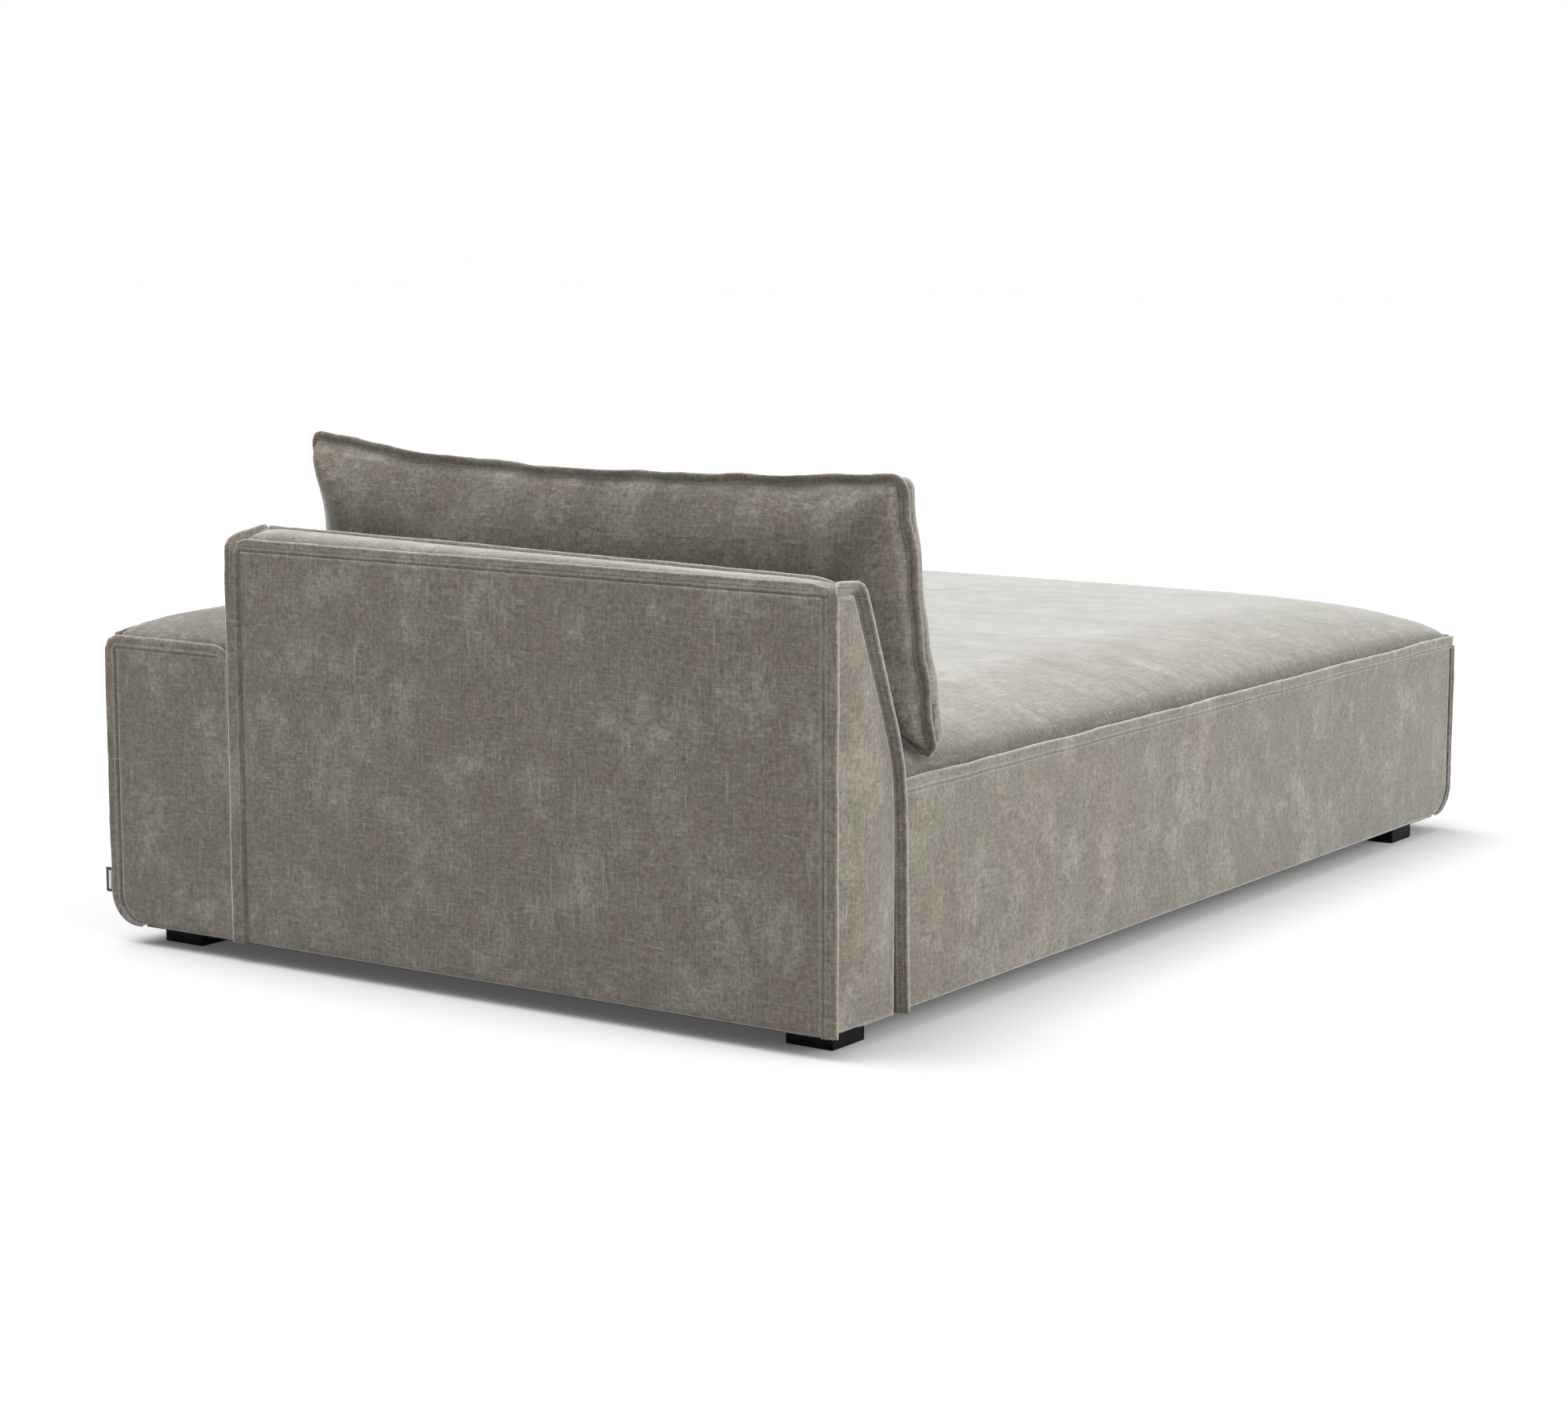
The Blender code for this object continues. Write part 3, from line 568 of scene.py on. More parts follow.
def make_seat(fabric, thread):
    block = Block(
        lambda a, b, z: Vector((b, SEAT_PANEL_FRONT + a, z)), BACK_FRONT - SEAT_PANEL_FRONT, FREE_SIDE,
        ARM_OUTER, SEAT_TOE, SEAT_SEAM, SEAT_TOP - SEAT_SEAM - 0.002, 1, 0.026,
        fall=0.4, reach=0.22, shade=1.0, notch=(ARM_FRONT - 0.001 - SEAT_PANEL_FRONT, ARM_INNER - 0.001),
    )
    cloth = block.build()
    lines = []
    half_seam = SEAM * 0.5
    for x, sign, far in ((FREE_SIDE, -1, BACK_FRONT), (ARM_OUTER, 1, ARM_FRONT - 0.001)):
        side = Vector((sign, 0, 0))

        def place(p, q, plane=x - sign * LIP_INSET):
            return Vector((plane, p, q))

        start, steps = far - 0.001, 60
        run = start - (SEAT_PANEL_FRONT + 0.03)
        top = []
        for step in range(steps + 1):
            height = SEAT_SEAM + 0.002 * ripple(step / 3.4, 0.2, 95 + sign)
            top.append((place(start - run * step / steps, height), UP, side))
        ear = place(SEAT_PANEL_FRONT - 0.004, SEAT_SEAM - 0.002)
        top.append((ear, Vector((0, -0.25, 1)).normalized(), side))
        lines.append(lip(cloth, top, 3 + sign, wave=2.2))
        edge, low, toe = SEAT_PANEL_FRONT + half_seam, BASE + half_seam, SEAT_PANEL_FRONT + SEAT_TOE
        corners = ((edge, SEAT_SEAM - 0.002), (edge, low), (toe, low), (toe + 0.012, low + 0.005))
        path = plane_path(corners, (SEAT_TOE - half_seam, 0.02), place, side, corner_bend(side))
        lines.append(lip(cloth, path, 8 + sign, width=0.007, last=(0.1, 0.08)))
    for start, y, sign, seed, width in (
        (FREE_SIDE + 0.006, SEAT_PANEL_FRONT + LIP_INSET, -1, 6, LIP),
        (ARM_INNER - 0.004, ARM_FRONT - 0.003, 1, 7, 0.013),
    ):
        ends = [(x, y, SEAT_SEAM) for x in (start, ARM_OUTER - 0.006)]
        lines.append(lip(cloth, straight(ends, UP, (0, sign, 0)), seed, width))
    return sewn("seat", cloth, [(line, False) for line in lines], fabric, thread)


def make_arm(fabric, thread):
    block = Block(
        lambda a, b, z: Vector((ARM_OUTER - a, b, z)), ARM_OUTER - ARM_INNER, ARM_FRONT, REAR,
        ARM_TOE, ARM_SEAM, ARM_TOP - ARM_SEAM, 30, 0.002,
    )
    cloth = block.build()
    lines = []
    half_seam = SEAM * 0.5
    for y, sign in ((REAR, 1), (ARM_FRONT, -1)):
        side = Vector((0, sign, 0))

        def place(p, q, plane=y - sign * LIP_INSET):
            return Vector((-p, plane, q))

        edge, low, toe = -ARM_OUTER + half_seam, BASE + half_seam, -ARM_OUTER + ARM_TOE
        inner, foot, radius, first = -ARM_INNER - half_seam, SEAT_SEAM + 0.02, 0.007, None
        if sign > 0:
            inner, foot, radius, first = -ARM_INNER - 0.024, BASE + 0.002, 0.022, (0.52, 0.3)
        corners = (
            (inner, foot), (inner, ARM_SEAM), (edge, ARM_SEAM), (edge, low), (toe, low),
            (toe + 0.012, low + 0.005),
        )
        radii = (radius, 0.007, ARM_TOE - half_seam, 0.02)
        path = plane_path(corners, radii, place, side, corner_bend(side, 0.15))
        lines.append(lip(cloth, path, 33 + sign, width=0.0165, first=first, last=(0.1, 0.05), painted_sheen_and_wear=0.5))
    for x, sign, rear in ((ARM_OUTER, 1, REAR - 0.006), (ARM_INNER, -1, 0.98)):
        ends = [(x - sign * LIP_INSET, y, ARM_SEAM) for y in (ARM_FRONT + 0.006, rear)]
        lines.append(lip(cloth, straight(ends, UP, (sign, 0, 0)), 36 + sign))
    return sewn("arm", cloth, [(line, False) for line in lines], fabric, thread, arm_lift)


def arm_lift(place):
    """The filling pushes the arm's top seam up away from the corners."""
    inward = clamp(min(REAR - place.y, place.y - ARM_FRONT), 0.0, 1.0)
    start = 0.33
    return 0.015 * (1 - fading(inward, 0.07)) * clamp((place.z - start) / (ARM_SEAM - start))


def back_front_face(z):
    """How far forward the back reaches at a height: upright, then easing over into the slope."""
    bend = 0.02
    return BACK_FRONT + 0.001 + BACK_SLOPE * bend * math.log1p(math.exp((z - BACK_SLOPE_START) / bend))


def back_rows():
    """Heights of the back's grid lines."""
    rows = [BASE, BASE + 0.002, BASE + 0.005, BASE + 0.01]
    count = 30
    rows += [lerp(BASE + 0.02, BACK_SEAM - 0.034, index / count) for index in range(count + 1)]
    rows += [BACK_SEAM - distance for distance in reversed(NEAR)] + [BACK_SEAM]
    return sorted(set(round(row, 6) for row in rows))


def make_back(fabric, thread):
    cloth = Cloth()
    left, right = FREE_SIDE, BACK_SIDE
    xs = spread(left + SEAM, right - SEAM, GRID_STEP)
    zs = back_rows()
    shares = spread(0.0, 1.0, 0.09, 6.0)
    top_front = back_front_face(BACK_SEAM)

    def hem(z):
        return ease(z - BASE + 0.001, 0.008)

    def depth(t, z):
        return lerp(back_front_face(z) + SEAM, REAR - SEAM, t)

    def face_relief(x, z, seed, swell, wrinkle):
        seams = [(x - left - SEAM, z), (right - SEAM - x, z), (BACK_SEAM - z, x)]
        return seams, tucked(panel_relief(seams, (x, z), seed, swell, wrinkle), hem(z))

    def rear_point(x, z):
        seams, offset = face_relief(x, z, 51, 0.0025, 0.0008)
        # Painted highlight and painted shade at the seams, and a painted highlight along the hem.
        return Vector((x, REAR + offset, z)), max(panel_edge(d for d, _ in seams), 0.8 * (1 - hem(z)))

    def front_point(x, z):
        _, offset = face_relief(x, z, 52, 0.006, 0.0015)
        tilt = ease(z - BACK_SLOPE_START + 0.03, 0.06) * math.atan(BACK_SLOPE)
        y = back_front_face(z) - offset * math.cos(tilt)
        return Vector((x, y, z + offset * math.sin(tilt) * ease(BACK_SEAM - z, 0.01))), 0.0

    def end_point(plane, sign):
        def place(t, z):
            y = depth(t, z)
            ends = (y - back_front_face(z) - SEAM, REAR - SEAM - y)
            seams = [(ends[0], z), (ends[1], z + 0.5), (BACK_SEAM - z, y)]
            swell = 0.004 * ease(z - BASE, 0.1) + 0.004 * math.exp(-((z - 0.2) / 0.1) ** 2)
            fold = ripple(y / 0.022, z / 0.12, 57) * fading(z - BASE, 0.05) * ease(min(ends), 0.015)
            offset = tucked(panel_relief(seams, (y, z), 53 + sign, swell) + 0.0018 * fold, hem(z))
            # Painted highlight and painted shade at the seams, the highlight stronger on the front half, and
            # a painted highlight along the hem.
            deepest, light = (-0.0022, 1.5) if t < 0.5 else (-SEAM, 1.0)
            edge = max(panel_edge(d for d, _ in seams) * light, 0.6 * (1 - hem(z)))
            return Vector((plane + sign * max(offset, deepest), y, z)), edge
        return place

    def top_point(x, t):
        y = depth(t, BACK_SEAM)
        distance = soft_minimum((x - left, right - x, y - top_front, REAR - y))
        inside = max(distance - SEAM, 0.0)
        inward = max(min(x - left, right - x) - SEAM, 0.0)
        height = lerp(0.017, 0.024, toward_arm(x)) * (1 - fading(inside, 0.008))
        height *= 1 - 0.4 * fading(inward, 0.014)
        height += 0.0008 * ease(inside, 0.01) * ripple(x / 0.09, t, 58)
        return Vector((x, y, BACK_SEAM + height)), 0.0

    cloth.surface(xs, zs, rear_point)
    cloth.surface(xs, zs, front_point)
    ends = ((left, -1), (right, 1))
    for plane, sign in ends:
        cloth.surface(shares, zs, end_point(plane, sign))
    cloth.surface(xs, shares, top_point)
    for turned, inner in ((REAR + TUCK, REAR - 0.035), (BACK_FRONT + 0.006, BACK_FRONT + HEM)):
        hem_rows = ((turned, 0.0), (inner, HEM_LIFT))
        cloth.grid([[cloth.point(Vector((x, y, BASE + lift))) for x in xs] for y, lift in hem_rows])
    for plane, sign in ends:
        cloth.grid([
            [cloth.point(Vector((plane - sign * inset, depth(t, BASE), BASE + lift))) for t in shares]
            for inset, lift in ((-TUCK, 0.0), (HEM, HEM_LIFT))
        ])

    rear = [(x, REAR - 0.003, BACK_SEAM) for x in (left - 0.001, right + 0.001)]
    front = [(x, top_front + 0.004, BACK_SEAM + 0.004) for x in (left + 0.012, right + 0.002)]
    rear_lip = lip(
        cloth, straight(rear, (0, -0.2, 1), (0, 1, 0.2)), 61, width=0.015, thickness=0.0065,
        section=DOUBLE_SECTION, first=(0.03, 0.7), last=(0.02, 0.6),
    )
    front_path = straight(front, (0, -0.5, 0.87), (0, -0.87, -0.5))
    front_lip = lip(cloth, front_path, 62, wave=1.6, first=(0.06, 0.35))
    lines = [(rear_lip, True), (front_lip, False)]
    lines += [(back_end_lip(cloth, plane, sign), True) for plane, sign in ends]
    return sewn("back", cloth, lines, fabric, thread, rise_forward)


def rise_forward(place):
    """The back's top climbs to its front edge at the arm end, and falls a little at the free end."""
    share = clamp((REAR - place.y) / (REAR - back_front_face(BACK_SEAM)))
    start = 0.5
    return lerp(-0.006, 0.01, toward_arm(place.x)) * share * clamp((place.z - start) / (BACK_SEAM - start))


def toward_arm(x):
    """0 at the back's free end and 1 at its arm end."""
    return clamp((x - FREE_SIDE) / (BACK_SIDE - FREE_SIDE))


def back_end_lip(cloth, plane, sign):
    """Double-stitched lip round an end of the back. It stands sideways, and diagonally along the top."""
    top, foot = BACK_SEAM + 0.004, BASE + 0.0005
    if sign < 0:
        rear, ahead, rearward, upward = REAR - 0.003, 0.002, -0.3, 0.72
        ends = [(back_front_face(BACK_SLOPE_START), BACK_SLOPE_START), (BACK_FRONT - 0.0035, foot)]
        width, last = 0.0185, None
    else:
        rear, ahead, rearward, upward = REAR + 0.0015, -0.007, 0.1, 0.84
        ends = [(back_front_face(ARM_TOP + 0.02) + 0.002, ARM_TOP + 0.02)]
        width, last = 0.0205, (0.02, 0.5)

    def place(p, q):
        return Vector((plane - sign * 0.002, p, q))

    def bend(direction):
        level = rearward * max(direction.y, 0.0) + 0.3 * max(-direction.y, 0.0)
        in_plane = lerp(level, upward, max(direction.z, 0.0) ** 2)
        across = math.sqrt(1 - in_plane ** 2)
        return (Vector((sign * across, 0, 0)) + direction * in_plane).normalized()

    corners = [(rear, foot), (rear, top), (back_front_face(top) + ahead, top)] + ends
    path = plane_path(corners, (0.012, 0.01, 0.3), place, Vector((0, 1, 0)), bend)
    turned = []
    for index, (point, out, _) in enumerate(path):
        travel = path[min(index + 1, len(path) - 1)][0] - path[max(index - 1, 0)][0]
        turned.append((point, out, (travel.cross(out) * -sign).normalized()))
    return lip(
        cloth, turned, 63 + sign, width=width, thickness=0.0062, wave=1.2, section=DOUBLE_SECTION, last=last,
    )


# --- the loose cushion

CUSHION_PLACE = Matrix.Translation((-0.1405, 0.8195, 0.612)) @ Matrix.Rotation(-math.radians(11), 4, "X")
CUSHION_HALF_WIDTH = 0.5345
CUSHION_TOP = 0.1553        # seam heights halfway along
CUSHION_FOOT = -0.178
CUSHION_SEAM_Y = 0.015      # how far behind the middle its seam lies
CUSHION_CORNER = 0.012      # radius
CUSHION_LIP = 0.016
SWELL_CAP = 0.024
ZIP_HEIGHT = -0.12
ZIP_HALF_WIDTH = 0.402
ZIP_FLOOR = 0.0798          # the rear face stays in front of this over the zip


def cushion_outline(x, share):
    """Seam point (x, z) for a width position and a height share from -1 to 1."""
    t = x / CUSHION_HALF_WIDTH
    top = CUSHION_TOP + (0.034 if t > 0 else 0.0165) * abs(t) ** 2.4
    foot = CUSHION_FOOT - 0.04 * math.exp(-((abs(t) - 1) / 0.07) ** 2)
    z = lerp(foot, top, (share + 1) / 2)
    u = CUSHION_CORNER - (CUSHION_HALF_WIDTH - abs(x))
    v = CUSHION_CORNER - min(top - z, z - foot)
    if u > 0 and v > 0:
        rounding = 1 - max(u, v) / math.hypot(u, v)
        x -= math.copysign(u * rounding, x)
        z -= math.copysign(v * rounding, share)
    drawn_in = (0.009 if t > 0 else 0.003) * (1 - share ** 2) * abs(t) ** 6
    return x - math.copysign(drawn_in, x), z


def cushion_sheet(x, share, sign):
    """Point of the front (-1) or rear (1) panel: bulging past the seam, then domed."""
    place_x, z = cushion_outline(x, share)
    top, foot = cushion_outline(x, 1)[1], cushion_outline(x, -1)[1]
    sides = (CUSHION_HALF_WIDTH - x, CUSHION_HALF_WIDTH + x, top - z, z - foot)
    distance = max(soft_minimum(sides) - 0.0005, 0.0)
    out = Vector((0, 0))
    for side, way in zip(sides, ((1, 0), (-1, 0), (0, 1), (0, -1))):
        out += Vector(way) * max(side, 0.001) ** -2
    out.normalize()
    hidden, open_end = max(out.x, 0.0) ** 2, max(-out.x, 0.0) ** 2
    bulge = 0.016 + 0.009 * open_end * ease(0.8 - share, 1.6) if sign < 0 else 0.004 - 0.002 * hidden
    gathered = fading(distance, 0.03)
    bulge *= (1 - fading(distance, 0.004)) * gathered
    shoulder, middle = (0.034, 0.05) if sign < 0 else (0.0095 + 0.012 * hidden, 0.056)
    depth = shoulder * (1 - fading(distance, 0.0045)) + middle * (1 - fading(distance, 0.075))
    wander = 0.0115 * gathered * ripple(x / 0.085, z / 0.07, 66)
    bulge += 0.003 * gathered * ripple(x / 0.06, z / 0.055, 67)
    return Vector((place_x + out.x * bulge, CUSHION_SEAM_Y + wander + sign * depth, z + out.y * bulge))


def cushion_mesh():
    """Two sheets that share their border, a little slimmer than the finished cushion."""
    work = bmesh.new()
    sheet = work.faces.layers.int.new("sheet")
    xs = spread(-CUSHION_HALF_WIDTH, CUSHION_HALF_WIDTH, 0.012, 1.5)
    shares = spread(-1.0, 1.0, 0.065, 8.0)
    for number, sign in enumerate((-1, 1)):
        rows = [[work.verts.new(cushion_sheet(x, share, sign)) for x in xs] for share in shares]
        for lower, upper in zip(rows, rows[1:]):
            for index in range(len(xs) - 1):
                face = work.faces.new((lower[index], lower[index + 1], upper[index + 1], upper[index]))
                face[sheet] = number
    bmesh.ops.remove_doubles(work, verts=work.verts, dist=0.0003)
    bmesh.ops.recalc_face_normals(work, faces=work.faces)
    return as_mesh(work, "cushion_panels")


CLOTH_SETTINGS = dict(
    quality=6, mass=0.3, tension_stiffness=12, compression_stiffness=12, shear_stiffness=6,
    bending_stiffness=0.4, vertex_group_mass="seam", use_pressure=True, uniform_pressure_force=4,
)


def swell(piece, cap, held):
    """Blow a piece up with a cloth simulation, its held points pinned and none moved past cap."""
    start = [vertex.co.copy() for vertex in piece.data.vertices]
    pins = piece.vertex_groups.new(name="seam")
    for index, share in held.items():
        pins.add([index], share, "REPLACE")
    cloth = piece.modifiers.new("Cloth", "CLOTH")
    for key, value in CLOTH_SETTINGS.items():
        setattr(cloth.settings, key, value)
    cloth.settings.effector_weights.gravity = 0
    cloth.collision_settings.use_collision = False
    scene = bpy.context.scene
    for number in range(1, 21):
        scene.frame_set(number)
    blown = evaluated(piece)
    ends = [vertex.co.copy() for vertex in blown.to_mesh().vertices]
    blown.to_mesh_clear()
    piece.modifiers.remove(cloth)
    scene.frame_set(1)
    for vertex, before, after in zip(piece.data.vertices, start, ends):
        move = after - before
        if move.length > cap:
            move *= cap / move.length
        vertex.co = before + move


def seam_loop(work):
    """The cushion's seam points in order: those where its two sheets meet."""
    sheet = work.faces.layers.int["sheet"]
    follow = {}
    for edge in work.edges:
        if len(edge.link_faces) == 2 and edge.link_faces[0][sheet] != edge.link_faces[1][sheet]:
            for vertex in edge.verts:
                follow.setdefault(vertex, []).append(edge.other_vert(vertex))
    start = min(follow, key=lambda vertex: vertex.index)
    order, previous, here = [start], None, start
    while True:
        onward = [vertex for vertex in follow[here] if vertex is not previous]
        previous, here = here, onward[0]
        if here is start:
            return order
        order.append(here)


def seam_hold(work):
    """Pin weights: the seam is held still, and the gathers beside it partly."""
    held = {}
    ring = seam_loop(work)
    for share in (1.0, 0.8, 0.6, 0.4, 0.2):
        for vertex in ring:
            held[vertex.index] = share
        ring = {edge.other_vert(vertex) for vertex in ring for edge in vertex.link_edges}
        ring = {vertex for vertex in ring if vertex.index not in held}
    return held


def swollen_cushion():
    """The two sheets after the simulation, and their seam."""
    piece = add_object("cushion_core", cushion_mesh())
    work = bmesh.new()
    work.from_mesh(piece.data)
    swell(piece, SWELL_CAP, seam_hold(work))
    work.clear()
    work.from_mesh(piece.data)
    bpy.data.objects.remove(piece, do_unlink=True)
    crease = work.edges.layers.float.new("crease_edge")
    seam = seam_loop(work)
    for edge in work.edges:
        if all(vertex in seam for vertex in edge.verts):
            edge[crease] = 1.0
    loop = [vertex.co.copy() for vertex in seam]
    return as_mesh(work, "cushion_fine"), loop


def subdivided(mesh):
    fine = add_object("cushion_fine", mesh)
    fine.modifiers.new("Subdivision", "SUBSURF").levels = 1
    smooth = bpy.data.meshes.new_from_object(evaluated(fine))
    bpy.data.objects.remove(fine, do_unlink=True)
    return smooth


def make_cushion(fabric, thread):
    mesh, loop = swollen_cushion()
    cloth = Cloth()
    cloth.work.from_mesh(subdivided(mesh))
    layers = cloth.work.verts.layers.float
    cloth.edge = layers.get("fold_edge") or layers.new("fold_edge")
    cloth.work.normal_update()
    pucker_cushion(cloth)

    rearward = Vector((0, 1, 0))
    path = []
    for index, point in enumerate(loop):
        travel = (loop[(index + 2) % len(loop)] - loop[index - 2]).normalized()
        out = travel.cross(rearward)
        sunk = 0.001 + 0.005 * max(out.x, 0.0) ** 2
        path.append((point - out * sunk, out.normalized(), rearward))
    path.append(path[0])
    line = lip(cloth, path, 81, CUSHION_LIP, 0.0066, wave=5.0, closed=True, step=0.0035, painted_sheen_and_wear=0.35)
    stitches = Cloth()
    stitch_line(stitches, line, both=True)
    for made in (cloth, stitches):
        made.work.transform(CUSHION_PLACE)
    return cloth.finish("cushion", fabric, 0), stitches.finish("cushion_stitching", thread, 0)


def pucker_cushion(cloth):
    """Gathers along the seam, soft dents in the faces, the zip's channel in the rear face, and painted
    highlight and painted shade beside the seam.
    """
    for vertex in cloth.work.verts:
        x, y, z = vertex.co
        top, foot = cushion_outline(x, 1)[1], cushion_outline(x, -1)[1]
        sides = (top - z, x), (z - foot, x), (CUSHION_HALF_WIDTH - abs(x), z)
        seams = [(max(distance, 0.0), along) for distance, along in sides]
        nearest = min(seams)[0]
        sign = 1 if y > 0 else -1
        offset = gathers(seams, (0.0024, 0.028, 0.026, 0.09, 71 + sign), (0.003, 0.08, 0.075, 0.2, 74 + sign))
        dents = 0.0035 * ripple(x / 0.22, z / 0.15, 77 + sign) + 0.001 * ripple(x / 0.06, z / 0.05, 79 + sign)
        vertex.co += vertex.normal * (offset + dents * ease(nearest, 0.07))
        # Painted highlight beside the seam on both sheets, and painted shade down in the rear sheet's seam.
        if sign > 0:
            light = 0.12 * clamp(1 - abs(nearest - 0.009) / 0.004)
            vertex[cloth.edge] = light - clamp(1.2 - nearest / 0.0052)
        else:
            vertex[cloth.edge] = 0.7 * clamp(1 - abs(nearest - 0.01) / 0.014)
        in_zip = 1 - ease(abs(vertex.co.z - ZIP_HEIGHT) - 0.006, 0.01)
        in_zip *= 1 - ease(abs(x) - ZIP_HALF_WIDTH, 0.012)
        if sign > 0 and in_zip > 0:
            vertex.co.y = min(vertex.co.y, lerp(vertex.co.y, ZIP_FLOOR, in_zip))


# --- materials

class Nodes:
    """Short-hand for building one procedural material."""

    def __init__(self, name):
        self.material = bpy.data.materials.new(name)
        self.material.use_nodes = True
        self.tree = self.material.node_tree
        self.shader = self.tree.nodes["Principled BSDF"]
        self.place = self.add("ShaderNodeTexCoord").outputs["Object"]

    def add(self, kind, **values):
        node = self.tree.nodes.new(kind)
        for key, value in values.items():
            setattr(node, key, value)
        return node

    def link(self, source, target):
        self.tree.links.new(source, target)

    def put(self, socket, value):
        """A number or colour as the socket's own value, anything else as a link."""
        if isinstance(value, (int, float)):
            socket.default_value = value
        elif isinstance(value, tuple):
            socket.default_value = (*value, 1.0)
        else:
            self.link(value, socket)

    def fold_edge(self):
        return self.add("ShaderNodeAttribute", attribute_name="fold_edge").outputs["Fac"]

    def along(self, axis):
        node = self.add("ShaderNodeSeparateXYZ")
        self.link(self.place, node.inputs[0])
        return node.outputs[axis]

    def noise(self, scale, detail=2.0, rough=0.5, stretch=None, distortion=0.0):
        place = self.place
        if stretch:
            mapping = self.add("ShaderNodeMapping")
            mapping.inputs["Scale"].default_value = stretch
            self.link(place, mapping.inputs["Vector"])
            place = mapping.outputs["Vector"]
        node = self.add("ShaderNodeTexNoise")
        names = ("Scale", "Detail", "Roughness", "Distortion")
        for key, value in zip(names, (scale, detail, rough, distortion)):
            node.inputs[key].default_value = value
        self.link(place, node.inputs["Vector"])
        return node.outputs["Fac"]

    def ranged(self, source, low=0.3, high=0.7, to_low=0.0, to_high=1.0):
        node = self.add("ShaderNodeMapRange", clamp=True)
        for key, value in (("From Min", low), ("From Max", high), ("To Min", to_low), ("To Max", to_high)):
            node.inputs[key].default_value = value
        self.link(source, node.inputs["Value"])
        return node.outputs["Result"]

    def math(self, operation, first, second):
        node = self.add("ShaderNodeMath", operation=operation)
        for socket, value in zip(node.inputs, (first, second)):
            self.put(socket, value)
        return node.outputs[0]

    def mix(self, share, first, second, blend="MIX"):
        node = self.add("ShaderNodeMix", data_type="RGBA", blend_type=blend)
        for index, value in ((0, share), (6, first), (7, second)):
            self.put(node.inputs[index], value)
        return node.outputs[2]

    def tone(self, colour, source, *span):
        """colour multiplied by a grey that follows source over span."""
        grey = self.add("ShaderNodeCombineColor")
        level = self.ranged(source, *span)
        for socket in grey.inputs[:3]:
            self.link(level, socket)
        return self.mix(1.0, colour, grey.outputs[0], "MULTIPLY")

    def bump(self, height, distance, strength=1.0, below=None):
        node = self.add("ShaderNodeBump")
        node.inputs["Strength"].default_value = strength
        node.inputs["Distance"].default_value = distance
        self.link(height, node.inputs["Height"])
        if below:
            self.link(below, node.inputs["Normal"])
        return node.outputs["Normal"]

    def set(self, **values):
        for key, value in values.items():
            self.put(self.shader.inputs[key.replace("_", " ")], value)
        return self.material


UMBER = (0.12, 0.103, 0.082)
OLIVE = (0.112, 0.105, 0.082)
WORN = (0.27, 0.25, 0.21)
# PALE lightens the painted highlights along folds and seams, and the stray light hairs.
PALE = (0.4, 0.386, 0.35)
# CREASE is the colour of the painted shade down in the seams and beside the seat's crown edge.
CREASE = (0.042, 0.033, 0.022)


def upholstery():
    """Brushed chenille: drifting umber and olive, worn lighter clouds, and yarns running both ways."""
    n = Nodes("chenille")
    drift = n.noise(9, 3, 0.55, (1, 1, 0.6), 0.5)
    drift = n.math("ADD", drift, n.ranged(n.along("Y"), -1.0, 1.0, -0.12, 0.1))
    colour = n.mix(n.ranged(drift, 0.38, 0.56), OLIVE, UMBER)
    clouds = n.noise(13, 8, 0.76, (1, 1, 0.75), 0.2)
    colour = n.mix(n.ranged(clouds, 0.48, 0.66, 0.0, 0.36), colour, WORN)
    runs = (430, 430, 48), (52, 52, 430)
    weave = n.math("ADD", *(n.math("MULTIPLY", n.noise(1, 3, 0.65, run), 0.5) for run in runs))
    colour = n.tone(colour, weave, 0.34, 0.66, 0.76, 1.26)
    mottle = n.noise(150, 4, 0.72)
    colour = n.tone(colour, mottle, 0.32, 0.68, 0.7, 1.34)
    yarn = n.noise(800, 2, 0.65)
    colour = n.tone(colour, yarn, 0.3, 0.7, 0.84, 1.16)
    # fold_edge above 0 mixes in PALE as a painted highlight (partly wear) along folds, seams and hems.
    fold = n.fold_edge()
    patchy = n.ranged(n.noise(160, 2), 0.3, 0.7, 0.35, 0.8)
    painted_sheen_and_wear = n.math("MULTIPLY", n.ranged(fold, 0.0, 1.0), patchy)
    colour = n.mix(painted_sheen_and_wear, colour, PALE)
    # fold_edge below 0 mixes in CREASE as painted shade down in the seams and beside the seat's crown edge.
    colour = n.mix(n.ranged(fold, -0.1, -1.0, 0.0, 0.5), colour, CREASE)
    for run in ((330, 330, 16), (22, 22, 330)):
        hairs = n.noise(1, 2, 0.6, run)
        colour = n.mix(n.ranged(hairs, 0.6, 0.76, 0.0, 0.24), colour, PALE)
    normal = n.bump(n.noise(70, 4, 0.6), 0.0016, 0.6)
    for texture, depth, strength in ((mottle, 0.001, 0.8), (weave, 0.0006, 0.6), (yarn, 0.0004, 0.6)):
        normal = n.bump(texture, depth, strength, normal)
    n.set(Sheen_Weight=0.92, Sheen_Roughness=0.34, Sheen_Tint=(0.95, 0.97, 0.965), Specular_IOR_Level=0.15)
    return n.set(Base_Color=colour, Roughness=n.ranged(clouds, 0.3, 0.7, 0.86, 0.97), Normal=normal)


def thread_material():
    n = Nodes("thread")
    twist = n.noise(900, 1)
    colour = n.mix(n.ranged(twist), (0.17, 0.155, 0.13), (0.27, 0.25, 0.21))
    n.set(Specular_IOR_Level=0.3, Sheen_Weight=0.1)
    return n.set(Base_Color=colour, Roughness=0.75, Normal=n.bump(twist, 0.0002, 0.6))


